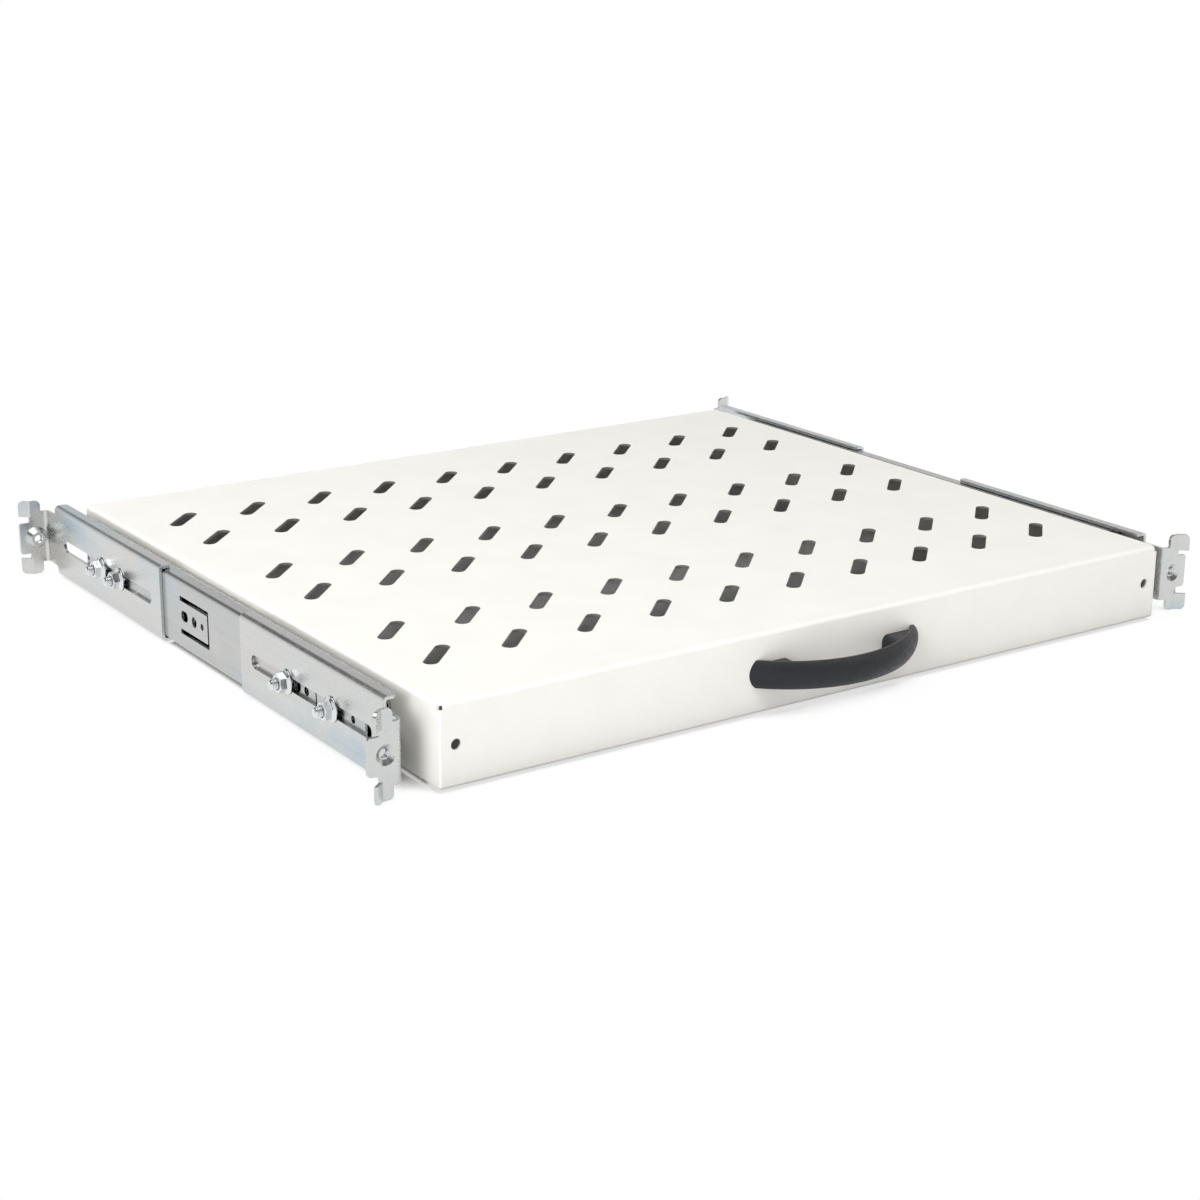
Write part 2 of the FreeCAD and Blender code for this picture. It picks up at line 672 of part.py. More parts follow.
def make_middle_rail():
    rail = new_body("right_middle_rail")
    inside = f"({MIDDLE_WEB} - rail_sheet)"
    under = f"({MIDDLE_HALF} - rail_sheet)"
    upper = [(MIDDLE_WEB, MIDDLE_HALF), ("middle_flange_start", MIDDLE_HALF),
             ("middle_flange_start", under), (inside, under)]
    lower = [(x, "-" + z) for x, z in reversed(upper)]
    section = new_sketch(rail, "XZ_Plane")
    add_polygon(section, upper + lower)
    add_feature(rail, "Pad", section, RUNNER_LENGTH, reverse=True)
    bends = [(MIDDLE_WEB, side + MIDDLE_HALF) for side in ("", "-")]
    dress(rail, "Fillet", edges_along(rail, "y", *bends), "rail_bend")
    bends = [(inside, side + under) for side in ("", "-")]
    dress(rail, "Fillet", edges_along(rail, "y", *bends), "rail_bend - rail_sheet")
    rail_grooves(rail, ("outer_track", OUTER_ROW), ("inner_track", INNER_ROW))
    web = new_sketch(rail, "YZ_Plane")
    for y in slide_screw_rows():
        add_circle(web, y, "0", "access_hole_radius")
    add_feature(rail, "Pocket", web, reverse=True)
    place(rail, HALF_WIDTH, RAIL_START)
    return rail


def make_inner_rail():
    rail = new_body("right_inner_rail")
    under = f"({INNER_HALF} - rail_sheet)"
    upper = [("inner_flange_reach", INNER_HALF), ("0", INNER_HALF)]
    lower = [(x, "-" + z) for x, z in reversed(upper)]
    hollow = [("inner_flange_reach", f"-{under}"), ("rail_sheet", f"-{under}"),
              ("rail_sheet", under), ("inner_flange_reach", under)]
    section = new_sketch(rail, "XZ_Plane")
    add_polygon(section, upper + lower + hollow)
    add_feature(rail, "Pad", section, RUNNER_LENGTH, reverse=True)
    bends = [("0", side + INNER_HALF) for side in ("", "-")]
    dress(rail, "Fillet", edges_along(rail, "y", *bends), "rail_bend")
    bends = [("rail_sheet", side + under) for side in ("", "-")]
    dress(rail, "Fillet", edges_along(rail, "y", *bends), "rail_bend - rail_sheet")
    rail_grooves(rail, ("inner_track", INNER_ROW))
    web = new_sketch(rail, "YZ_Plane")
    for y in slide_screw_rows():
        add_circle(web, y, "0", "screw_radius + fit")
    add_feature(rail, "Pocket", web, reverse=True)
    place(rail, HALF_WIDTH, RAIL_START)
    return rail


def make_bumper():
    """Closing buffer: a rubber block plugged into the outer rail's web."""
    bumper = new_body("right_rail_bumper")
    face = "(slide_gap - rail_sheet)"
    block = new_sketch(bumper, "XZ_Plane")
    add_rectangle(block, f"{face} - bumper_width", face, "-bumper_height / 2", "bumper_height / 2")
    add_feature(bumper, "Pad", block, "bumper_thickness", reverse=True)
    plug = new_sketch(bumper, "YZ_Plane", face)
    add_circle(plug, "bumper_thickness / 2", "0", "bumper_plug / 2 - fit")
    add_feature(bumper, "Pad", plug, "rail_sheet")
    place(bumper, HALF_WIDTH, f"{RAIL_START} + {RAIL_LENGTH} - bumper_thickness")
    return bumper


def make_cage_strip():
    """Ball retainer strip, flat in XY, with its middle at the origin."""
    strip = new_body("cage_strip_master")
    outline = new_sketch(strip, "XY_Plane")
    add_rectangle(outline, "-cage_width / 2", "cage_width / 2", "-cage_length / 2", "cage_length / 2")
    add_feature(strip, "Pad", outline, "cage_sheet", symmetric=True)
    pocket = new_sketch(strip, "XY_Plane")
    add_circle(pocket, "0", "-(ball_count - 1) * ball_step / 2", TRACK_RADIUS)
    hole = add_feature(strip, "Pocket", pocket, symmetric=True)
    row = strip.newObject("PartDesign::LinearPattern", "cage_holes")
    row.Originals = [hole]
    row.Direction = (origin_feature(strip, "Y_Axis"), [""])
    row.Mode = "Spacing"
    bind(row, "Occurrences", "ball_count")
    bind(row, "Offset", "ball_step")
    strip.Tip = row
    doc.recompute()
    return strip


def make_ball_set(name, track, row, strip, ball):
    """Upper and lower retainer strips of one ball row pair, and their balls."""
    x = f"{HALF_WIDTH} + {track}"
    middle = f"({RAIL_START} + {RUNNER_LENGTH} / 2)"
    rows = ["(" + row + ")", "-(" + row + ")"]
    cages = group_of(f"right_{name}_ball_cages", strip, [(x, middle, z) for z in rows])
    places = []
    for z in rows:
        for i in range(int(value("ball_count"))):
            places.append((x, f"{middle} + ({i} - (ball_count - 1) / 2) * ball_step", z))
    return cages, group_of(f"right_{name}_balls", ball, places)


def make_bracket():
    """Front right bracket: local X starts at the web's inner face, Y at the ear's front."""
    bracket = new_body("right_front_bracket")
    lip = "(bracket_lip - bracket_sheet)"
    upper = [("bracket_sheet", BRACKET_HALF), (f"-{lip}", BRACKET_HALF),
             (f"-{lip}", BRACKET_INSIDE), ("0", BRACKET_INSIDE)]
    lower = [(x, "-" + z) for x, z in reversed(upper)]
    channel = new_sketch(bracket, "XZ_Plane", "-bracket_neck")
    add_polygon(channel, upper + lower)
    add_feature(bracket, "Pad", channel, "bracket_length - bracket_neck", reverse=True)
    bends = [("bracket_sheet", side + BRACKET_HALF) for side in ("", "-")]
    dress(bracket, "Fillet", edges_along(bracket, "y", *bends), "bracket_bend")
    bends = [("0", side + BRACKET_INSIDE) for side in ("", "-")]
    dress(bracket, "Fillet", edges_along(bracket, "y", *bends), "bracket_bend - bracket_sheet")
    tips = [(f"-{lip}", y) for y in ("bracket_neck", "bracket_length")]
    dress(bracket, "Fillet", edges_along(bracket, "z", *tips), "lip_corner")

    neck = new_sketch(bracket, "YZ_Plane")
    add_rectangle(neck, "0", "bracket_neck + bracket_bend", "-neck_half_height", "neck_half_height")
    add_feature(bracket, "Pad", neck, "bracket_sheet")
    notch = edges_along(bracket, "x", ("bracket_neck", "-neck_half_height"))
    dress(bracket, "Fillet", notch, "neck_notch_round")

    tab_side = "(bracket_sheet + tab_start)"
    notch_x = f"({EAR_EDGE} - ear_notch_depth)"
    half = [("0", "neck_half_height"), (tab_side, "neck_half_height"), (tab_side, TAB_LOW),
            (notch_x, TAB_LOW), (notch_x, "ear_pad_half_height"), (EAR_EDGE, "ear_pad_half_height")]
    ear = new_sketch(bracket, "XZ_Plane")
    add_polygon(ear, half + [(x, "-" + z) for x, z in reversed(half)])
    add_feature(bracket, "Pad", ear, "bracket_sheet", reverse=True)
    pad_corners = [(EAR_EDGE, side + "ear_pad_half_height") for side in ("", "-")]
    dress(bracket, "Fillet", edges_along(bracket, "y", *pad_corners), "ear_corner")

    tip = (f"({TAB_BEND} + tab_hook * cos(tab_angle))", "(-tab_hook * sin(tab_angle))")
    tab = new_sketch(bracket, "XY_Plane", TAB_LOW)
    tip_back = (f"({tip[0]} + bracket_sheet * sin(tab_angle))",
                f"({tip[1]} + bracket_sheet * cos(tab_angle))")
    add_polygon(tab, [(tab_side, "0"), (TAB_BEND, "0"), tip, tip_back,
                      (f"{TAB_BEND} + bracket_sheet * tan(tab_angle / 2)", "bracket_sheet"),
                      (tab_side, "bracket_sheet")])
    hook = add_feature(bracket, "Pad", tab, "tab_height")
    twin = bracket.newObject("PartDesign::Mirrored", "tab_mirror")
    twin.Originals = [hook]
    twin.MirrorPlane = (origin_feature(bracket, "XY_Plane"), [""])
    bracket.Tip = twin
    doc.recompute()

    tab_corners = []
    for side in ("", "-"):
        level = f"{side}({TAB_LOW} + tab_height)"
        tab_corners += edges_along(bracket, "y", (tab_side, level))
        tab_corners += edge_between(bracket, tip + (level,), tip_back + (level,))
    dress(bracket, "Fillet", tab_corners, "tab_round")

    corner = edges_along(bracket, "z", ("0", "0"))
    dress(bracket, "Fillet", corner, "ear_bend")
    corner = edges_along(bracket, "z", ("bracket_sheet", "bracket_sheet"))
    dress(bracket, "Fillet", corner, "ear_bend - bracket_sheet")

    collar_end = "(bracket_sheet + collar_height)"
    collar = new_sketch(bracket, "XY_Plane")
    add_axis(collar, EAR_HOLE, "0", collar_end)
    add_polygon(collar, [(EAR_HOLE, "bracket_sheet"), (EAR_HOLE, collar_end),
                         (f"{EAR_HOLE} + collar_tip_radius", collar_end),
                         (f"{EAR_HOLE} + collar_root_radius", "bracket_sheet")])
    turn(bracket, "Revolution", collar)
    funnel = new_sketch(bracket, "XY_Plane")
    add_axis(funnel, EAR_HOLE, "0", "funnel_depth")
    add_polygon(funnel, [(EAR_HOLE, "0"), (f"{EAR_HOLE} + funnel_radius", "0"),
                         (f"{EAR_HOLE} + thread_radius", "funnel_depth"), (EAR_HOLE, "funnel_depth")])
    turn(bracket, "Groove", funnel)
    thread = new_sketch(bracket, "XZ_Plane")
    add_circle(thread, EAR_HOLE, "0", "thread_radius")
    add_feature(bracket, "Pocket", thread)

    slot = new_sketch(bracket, "YZ_Plane")
    first = "(adjust_slot_start + adjust_slot_width / 2)"
    last = "(adjust_slot_start + adjust_slot_length - adjust_slot_width / 2)"
    add_obround(slot, (first, "0"), (last, "0"), "adjust_slot_width / 2")
    add_feature(bracket, "Pocket", slot, "bracket_sheet + bracket_bend", reverse=True)
    place(bracket, BRACKET_X)
    return bracket


tray = make_tray()
handle = make_handle()
handle_screw = make_screw("handle_screw_master", "tray_sheet + handle_screw_grip - screw_tip_gap")
slide_screw = make_screw("slide_screw_master", "tray_sheet + rail_sheet + slide_screw_end")
stud = make_stud()
nut = make_nut()
strip = make_cage_strip()
ball = doc.addObject("Part::Sphere", "ball_master")
bind(ball, "Radius", "ball_radius")

panel_back = "(tray_sheet - tray_overhang)"
handle_screws = group_of(
    "handle_screws", handle_screw,
    [(side + "handle_screw_span / 2", panel_back, HANDLE_Z) for side in ("", "-")],
    FreeCAD.Rotation(FreeCAD.Vector(1, 0, 0), 90))

rows = [f"{RAIL_START} + {y}" for y in slide_screw_rows()]
slide_screws = group_of(
    "right_slide_screws", slide_screw, [(f"{HALF_WIDTH} - tray_sheet", y, "0") for y in rows],
    FreeCAD.Rotation(FreeCAD.Vector(0, 1, 0), 90))
rows = [f"{RAIL_START} + {y}" for y in stud_rows()]
studs = group_of("right_bracket_studs", stud,
                 [(f"{HALF_WIDTH} + slide_gap - rail_sheet", y, "0") for y in rows])
nuts = group_of("right_bracket_nuts", nut,
                [(f"{BRACKET_X} + bracket_sheet + running_gap", y, "0") for y in rows])
outer_cages, outer_balls = make_ball_set("outer", "outer_track", OUTER_ROW, strip, ball)
inner_cages, inner_balls = make_ball_set("inner", "inner_track", INNER_ROW, strip, ball)
front_bracket = make_bracket()
rear_bracket = mirrored("right_rear_bracket", front_bracket, "y", REAR_EAR + " / 2")

right_side = [make_outer_rail(), make_middle_rail(), make_inner_rail(), make_bumper(),
              slide_screws, studs, nuts, outer_cages, outer_balls, inner_cages, inner_balls,
              front_bracket, rear_bracket]
left_side = [mirrored(piece.Label.replace("right_", "left_"), piece) for piece in right_side]
pieces = [tray, handle, handle_screws] + right_side + left_side
doc.recompute()

for item in doc.Objects:
    if "Invalid" in item.State or "Error" in item.State:
        raise RuntimeError("%s failed to build" % item.Label)
for piece in pieces:
    shape = piece.Shape
    if shape.isNull() or not shape.isValid() or not shape.Solids:
        raise RuntimeError("%s has no valid solid" % piece.Label)

os.makedirs("parts", exist_ok=True)
for piece in pieces:
    piece.Shape.exportStep("parts/%s.step" % piece.Label)
print("%d pieces, %d solids" % (len(pieces), sum(len(piece.Shape.Solids) for piece in pieces)))
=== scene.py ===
"""Sliding rack shelf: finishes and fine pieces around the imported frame.

The folded tray, the bow handle, the rails and the brackets keep their CAD shape and get their
finish here. Flange nuts, threaded studs, recessed screws, tapped ears, ball rows and rubber
buffers are finer meshes that stand for the CAD pieces or sit in them.
"""
import math

import bmesh
import bpy
from bpy.props import FloatProperty, FloatVectorProperty, IntProperty, PointerProperty
from mathutils import Matrix, Vector


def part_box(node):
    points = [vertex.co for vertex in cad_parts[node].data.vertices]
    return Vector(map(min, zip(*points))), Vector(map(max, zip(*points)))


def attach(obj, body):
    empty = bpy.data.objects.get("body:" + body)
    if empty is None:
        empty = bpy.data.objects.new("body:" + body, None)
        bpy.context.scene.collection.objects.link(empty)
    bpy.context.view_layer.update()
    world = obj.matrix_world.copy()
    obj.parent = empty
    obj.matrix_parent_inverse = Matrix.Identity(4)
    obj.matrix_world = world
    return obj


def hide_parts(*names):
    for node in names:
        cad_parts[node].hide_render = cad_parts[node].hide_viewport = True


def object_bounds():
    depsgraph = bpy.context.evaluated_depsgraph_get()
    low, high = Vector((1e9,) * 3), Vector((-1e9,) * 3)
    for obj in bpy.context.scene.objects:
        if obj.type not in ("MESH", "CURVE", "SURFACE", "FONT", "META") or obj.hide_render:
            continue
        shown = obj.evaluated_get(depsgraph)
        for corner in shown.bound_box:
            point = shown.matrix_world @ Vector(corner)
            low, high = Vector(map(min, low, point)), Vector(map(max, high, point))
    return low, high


bl_info = {
    "name": "Sliding Rack Shelf",
    "version": (1, 0, 0),
    "blender": (4, 5, 0),
    "location": "View3D > Sidebar > Rack Shelf",
    "description": "Dresses a sliding rack shelf with painted, moulded and plated finishes and fine hardware",
    "category": "Object",
}

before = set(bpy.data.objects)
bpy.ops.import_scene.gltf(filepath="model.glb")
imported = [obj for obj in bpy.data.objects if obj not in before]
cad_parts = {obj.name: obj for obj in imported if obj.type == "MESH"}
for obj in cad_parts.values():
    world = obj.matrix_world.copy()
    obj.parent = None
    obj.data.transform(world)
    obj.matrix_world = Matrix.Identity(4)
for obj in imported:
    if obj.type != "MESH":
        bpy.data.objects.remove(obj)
CAD_BOX = [list(corner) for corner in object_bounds()]
MM = 0.001
OUTWARD = {"left": -1.0, "right": 1.0}

# Sizes that follow the CAD
HANDLE_REACH = 30.0 * MM
EAR_DEPTH = 385.0 * MM
EAR_BORE = 2.5 * MM
EAR_THREAD_START = 1.75 * MM
EAR_THREAD_END = 5.15 * MM
STUD_RADIUS = 2.5 * MM
STUD_HEAD = 0.9 * MM
NUT_BORE = 2.52 * MM
SCREW_RADIUS = 1.95 * MM
BALL_RADIUS = 1.6 * MM
POCKET_RADIUS = 1.75 * MM
PLUG_RADIUS = 1.17 * MM
PLUG_LENGTH = 1.2 * MM

# Sizes of the fine meshes
PIECE_GAP = 5.0 * MM
RECESS_DEPTH = 1.5 * MM
SHARP_ANGLE = math.radians(32.0)
NUT_CHAMFER = math.radians(32.0)

# Sizes of the stage
FLOOR_LEVEL = CAD_BOX[0][2]
FLOOR_MIDDLE = 180.0 * MM
FLOOR_RADII = (0.9, 2.5, 7.0, 16.0)
FLOOR_STEPS = 64
SHADOW_REACH = 120.0 * MM
GAP_REACH = 2.6 * MM
SHADOW_MARGIN = 30.0 * MM
CAMERA_PLACE = (-0.6552, -0.7671, 0.3439)
CAMERA_AZIMUTH = math.radians(34.54)
CAMERA_DROP = math.radians(17.63)
CAMERA_ROLL = math.radians(0.355)

# What all colour settings have in common
COLOUR = {"subtype": "COLOR", "size": 3, "min": 0.0, "max": 1.0}


class RackShelfFinish(bpy.types.PropertyGroup):
    """Colours of the shelf's finishes"""
    paint: FloatVectorProperty(
        name="Tray paint", description="Powder coat of the folded tray",
        default=(0.895, 0.875, 0.83), **COLOUR)
    # Painted shade: a dark colour on the punched walls of the vent slots, so that the slots read dark to
    # their edges
    slot_wall_shade: FloatVectorProperty(
        name="Slot walls", description="Thin coat on the punched walls of the vent slots",
        default=(0.19, 0.18, 0.17), **COLOUR)
    plastic: FloatVectorProperty(
        name="Handle plastic", description="Moulded plastic of the bow handle",
        default=(0.0135, 0.016, 0.0195), **COLOUR)
    # Painted highlight: a paler colour on the upward-facing side of the handle, strongest towards the middle
    plastic_highlight: FloatVectorProperty(
        name="Handle wear", description="Paler grain where hands rub the upper side of the handle",
        default=(0.062, 0.058, 0.057), **COLOUR)
    zinc: FloatVectorProperty(
        name="Bracket zinc", description="Plated steel of the brackets",
        default=(0.635, 0.645, 0.635), **COLOUR)
    rail_zinc: FloatVectorProperty(
        name="Rail zinc", description="Plated steel of the rails",
        default=(0.52, 0.53, 0.525), **COLOUR)
    blue_cast: FloatVectorProperty(
        name="Blue cast", description="Patches where the passivated zinc turns blue",
        default=(0.45, 0.565, 0.645), **COLOUR)
    straw_cast: FloatVectorProperty(
        name="Straw cast", description="Patches where the passivated zinc turns warm",
        default=(0.635, 0.60, 0.575), **COLOUR)
    bright_zinc: FloatVectorProperty(
        name="Bright zinc", description="Nuts, studs and screws",
        default=(0.76, 0.785, 0.80), **COLOUR)
    ball_steel: FloatVectorProperty(
        name="Ball steel", description="Polished bearing balls",
        default=(0.72, 0.72, 0.71), **COLOUR)
    cage_steel: FloatVectorProperty(
        name="Cage steel", description="Stamped ball retainers",
        default=(0.56, 0.55, 0.52), **COLOUR)
    rubber: FloatVectorProperty(
        name="Buffer rubber", description="Closing buffers",
        default=(0.022, 0.022, 0.023), **COLOUR)
    edge_width: FloatProperty(
        name="Edge width", description="Width of the softened edges of the sheet metal",
        unit="LENGTH", min=0.0, max=0.002, default=0.28 * MM)


class RackShelfHardware(bpy.types.PropertyGroup):
    """Sizes of the fine hardware"""
    stud_pitch: FloatProperty(
        name="Stud thread pitch", description="Rise of the stud thread in one turn",
        unit="LENGTH", min=0.0003, max=0.002, default=0.8 * MM)
    stud_thread: FloatProperty(
        name="Stud thread length", description="Length of the thread that is cut from the stud's tip",
        unit="LENGTH", min=0.001, max=0.010, default=4.6 * MM)
    screw_pitch: FloatProperty(
        name="Screw thread pitch", description="Rise of the screw thread in one turn",
        unit="LENGTH", min=0.0003, max=0.002, default=0.7 * MM)
    ear_pitch: FloatProperty(
        name="Ear thread pitch", description="Rise of the tapped ear's thread in one turn",
        unit="LENGTH", min=0.0003, max=0.002, default=1.0 * MM)
    thread_depth: FloatProperty(
        name="Thread depth", description="Depth of the threads as a share of their pitch",
        subtype="FACTOR", min=0.1, max=0.7, default=0.45)
    nut_flats: FloatProperty(
        name="Nut width", description="Width of the flange nuts across their flats",
        unit="LENGTH", min=0.004, max=0.011, default=8.0 * MM)
    nut_flange: FloatProperty(
        name="Nut flange", description="Height of the flange's rim",
        unit="LENGTH", min=0.0003, max=0.002, default=0.7 * MM)
    screw_head: FloatProperty(
        name="Screw head", description="Height of the pan heads",
        unit="LENGTH", min=0.001, max=0.004, default=2.4 * MM)
    recess_reach: FloatProperty(
        name="Recess reach", description="Half width of the cross recess in the screw heads",
        unit="LENGTH", min=0.0005, max=0.003, default=2.0 * MM)
    ear_spacing: FloatProperty(
        name="Ear spacing", description="Distance between the tapped holes of the left and right ears",
        unit="LENGTH", min=0.40, max=0.50, default=465.1 * MM)
    balls_in_row: IntProperty(
        name="Balls in a row", description="Balls in each retainer strip",
        min=3, max=25, default=13)


class RackShelfStage(bpy.types.PropertyGroup):
    """Floor, light and camera"""
    floor: FloatVectorProperty(
        name="Floor", description="Colour of the studio floor",
        default=(1.0, 1.0, 1.0), **COLOUR)
    # Painted shade: the floor's colour where the shelf covers it
    floor_shade: FloatVectorProperty(
        name="Covered floor", description="Colour of the floor under the tray, seen through its slots",
        default=(0.45, 0.43, 0.41), **COLOUR)
    softbox_power: FloatProperty(
        name="Softbox", description="Power of the large softbox at the left",
        unit="POWER", min=0.0, max=200.0, default=28.8)
    overhead_power: FloatProperty(
        name="Overhead light", description="Power of the softbox above the tray",
        unit="POWER", min=0.0, max=100.0, default=4.35)
    fill_power: FloatProperty(
        name="Fill light", description="Power of the softbox high above the front",
        unit="POWER", min=0.0, max=100.0, default=6.4)
    dome_strength: FloatProperty(
        name="Dome light", description="Strength of the light from the sky dome",
        min=0.0, max=4.0, default=1.0)
    lens: FloatProperty(
        name="Lens", description="Focal length of the camera",
        unit="CAMERA", min=10.0, max=300.0, default=68.76)


class RackShelfSettings(bpy.types.PropertyGroup):
    """All settings of the sliding rack shelf"""
    finish: PointerProperty(type=RackShelfFinish)
    hardware: PointerProperty(type=RackShelfHardware)
    stage: PointerProperty(type=RackShelfStage)


def set_inputs(tree, node, inputs):
    """Sets a node's inputs to values, or links them to sockets."""
    for name, given in inputs.items():
        if isinstance(given, bpy.types.NodeSocket):
            tree.links.new(given, node.inputs[name])
        else:
            node.inputs[name].default_value = given


def add_node(tree, kind, inputs=None, **settings):
    """A new node with its settings and inputs."""
    node = tree.nodes.new(kind)
    for name, setting in settings.items():
        setattr(node, name, setting)
    set_inputs(tree, node, inputs or {})
    return node


def calculate(tree, operation, first, second=0.0, clamp=False):
    node = add_node(tree, "ShaderNodeMath", {0: first, 1: second}, operation=operation, use_clamp=clamp)
    return node.outputs[0]


def calculate_vector(tree, operation, first, second=(0.0, 0.0, 0.0)):
    node = add_node(tree, "ShaderNodeVectorMath", {0: first, 1: second}, operation=operation)
    return node.outputs["Value" if operation in ("LENGTH", "DOT_PRODUCT") else "Vector"]


def split(tree, vector):
    """The X, Y and Z of a vector."""
    return add_node(tree, "ShaderNodeSeparateXYZ", {"Vector": vector}).outputs


def distance_from_middle(tree, where, low, high):
    """Distance of a place from the middle of a box, along each axis."""
    offset = calculate_vector(tree, "SUBTRACT", where, (low + high) / 2.0)
    return calculate_vector(tree, "ABSOLUTE", offset)


def mix_shaders(tree, factor, first, second):
    return add_node(tree, "ShaderNodeMixShader", {0: factor, 1: first, 2: second}).outputs[0]


def add_bump(tree, strength, distance, height, normal=None):
    """Normal of a bumpy surface, on top of another normal where one is given."""
    inputs = {"Strength": strength, "Distance": distance, "Height": height}
    if normal is not None:
        inputs["Normal"] = normal
    return add_node(tree, "ShaderNodeBump", inputs).outputs[0]


def blend_colours(tree, factor, first, second, amount=None):
    """Goes from the first colour to the second by a factor, or by a share of it."""
    if amount is not None:
        factor = calculate(tree, "MULTIPLY", factor, amount)
    node = add_node(tree, "ShaderNodeMix", {0: factor, 6: first, 7: second}, data_type="RGBA")
    return node.outputs[2]


def remap(tree, value, low, high, to_low=0.0, to_high=1.0):
    node = add_node(tree, "ShaderNodeMapRange",
                    {"Value": value, "From Min": low, "From Max": high,
                     "To Min": to_low, "To Max": to_high}, interpolation_type="SMOOTHSTEP")
    return node.outputs["Result"]


def own_place(tree):
    """Place in the piece's own coordinates."""
    return add_node(tree, "ShaderNodeTexCoord").outputs["Object"]


def stretched_noise(tree, scale, stretch, detail, roughness=0.55, offset=(0.0, 0.0, 0.0)):
    """Noise in the piece's own coordinates, drawn out along an axis by a small stretch value."""
    where = own_place(tree)
    mapped = add_node(tree, "ShaderNodeMapping", {"Vector": where, "Location": offset, "Scale": stretch})
    node = add_node(tree, "ShaderNodeTexNoise",
                    {"Vector": mapped.outputs[0], "Scale": scale, "Detail": detail, "Roughness": roughness})
    return node.outputs["Fac"]


def new_group(name, inputs, outputs):
    """An empty shader node group with named sockets."""
    group = bpy.data.node_groups.new(name, "ShaderNodeTree")
    for label, kind in inputs:
        group.interface.new_socket(label, in_out="INPUT", socket_type=kind)
    for label, kind in outputs:
        group.interface.new_socket(label, in_out="OUTPUT", socket_type=kind)
    given = group.nodes.new("NodeGroupInput").outputs
    result = group.nodes.new("NodeGroupOutput")
    return group, given, result


def use_group(tree, name, inputs):
    """The outputs of a shared effect, put to use in a material."""
    return add_node(tree, "ShaderNodeGroup", inputs, node_tree=bpy.data.node_groups[name]).outputs


def make_soft_edges_group():
    """Softened edges: the rounded normal, and a mask that is bright along the edges."""
    group, given, result = new_group(
        "soft_edges", [("Width", "NodeSocketFloat")],
        [("Mask", "NodeSocketFloat"), ("Normal", "NodeSocketVector")])
    rounded = add_node(group, "ShaderNodeBevel", {"Radius": given["Width"]}, samples=6).outputs[0]
    plain = add_node(group, "ShaderNodeNewGeometry").outputs["Normal"]
    bent = calculate(group, "SUBTRACT", 1.0, calculate_vector(group, "DOT_PRODUCT", rounded, plain))
    group.links.new(remap(group, bent, 0.02, 0.30), result.inputs["Mask"])
    group.links.new(rounded, result.inputs["Normal"])


def make_zinc_clouds_group():
    """Cloudy cast of passivated zinc: blue and straw patches, and the cloud itself as a mask."""
    colour = "NodeSocketColor"
    group, given, result = new_group(
        "zinc_clouds", [("Zinc", colour), ("Blue", colour), ("Straw", colour), ("Amount", "NodeSocketFloat")],
        [("Color", colour), ("Mask", "NodeSocketFloat")])
    broad = stretched_noise(group, 26.0, (1.0, 0.75, 1.0), 3.0)
    other = stretched_noise(group, 34.0, (1.0, 0.6, 1.0), 3.0, offset=(3.1, 1.7, 0.4))
    mottle = stretched_noise(group, 420.0, (1.0, 0.5, 1.0), 4.0, 0.65)
    blue = calculate(group, "MULTIPLY", remap(group, broad, 0.50, 0.72), given["Amount"])
    straw = calculate(group, "MULTIPLY", remap(group, other, 0.52, 0.76), given["Amount"])
    tinted = blend_colours(group, blue, given["Zinc"], given["Blue"])
    tinted = blend_colours(group, straw, tinted, given["Straw"])
    shade = add_node(group, "ShaderNodeBrightContrast",
                     {"Color": tinted, "Bright": remap(group, mottle, 0.25, 0.75, -0.012, 0.012)})
    group.links.new(shade.outputs[0], result.inputs["Color"])
    group.links.new(mottle, result.inputs["Mask"])


def make_mill_lines_group():
    """Fine lines that the rolling mill leaves along the sheet."""
    group, given, result = new_group(
        "mill_lines", [("Scale", "NodeSocketFloat")],
        [("Mask", "NodeSocketFloat"), ("Height", "NodeSocketFloat")])
    fine = stretched_noise(group, given["Scale"], (1.0, 0.012, 1.0), 2.0, 0.6)
    coarse = stretched_noise(group, 260.0, (1.0, 0.03, 1.0), 2.0, 0.5, offset=(0.7, 0.0, 1.9))
    both = calculate(group, "ADD", calculate(group, "MULTIPLY", fine, 0.65),
                     calculate(group, "MULTIPLY", coarse, 0.35))
    group.links.new(remap(group, both, 0.30, 0.70), result.inputs["Mask"])
    group.links.new(fine, result.inputs["Height"])


def make_corner_shade_group():
    """Mask of the narrow corners and crevices, where shade is painted into the colour."""
    group, given, result = new_group(
        "corner_shade", [("Distance", "NodeSocketFloat")], [("Mask", "NodeSocketFloat")])
    open_sky = add_node(group, "ShaderNodeAmbientOcclusion", {"Distance": given["Distance"]}, samples=8)
    group.links.new(remap(group, open_sky.outputs["AO"], 0.75, 0.15), result.inputs["Mask"])


def make_fine_grain_group():
    """Small even bumps: orange peel in paint, spark grain in moulded plastic, bloom on rubber."""
    group, given, result = new_group(
        "fine_grain", [("Scale", "NodeSocketFloat"), ("Sharpness", "NodeSocketFloat")],
        [("Mask", "NodeSocketFloat"), ("Height", "NodeSocketFloat")])
    soft = stretched_noise(group, given["Scale"], (1.0, 1.0, 1.0), 2.0, 0.5)
    where = own_place(group)
    cells = add_node(group, "ShaderNodeTexVoronoi", {"Vector": where, "Scale": given["Scale"]},
                     feature="SMOOTH_F1")
    sharp = calculate(group, "SUBTRACT", 1.0, cells.outputs["Distance"])
    mixed = add_node(group, "ShaderNodeMix", {0: given["Sharpness"], 2: soft, 3: sharp}, data_type="FLOAT")
    group.links.new(mixed.outputs[0], result.inputs["Height"])
    patches = stretched_noise(group, 38.0, (1.0, 1.0, 1.0), 4.0, 0.6, offset=(5.2, 0.9, 2.3))
    group.links.new(patches, result.inputs["Mask"])


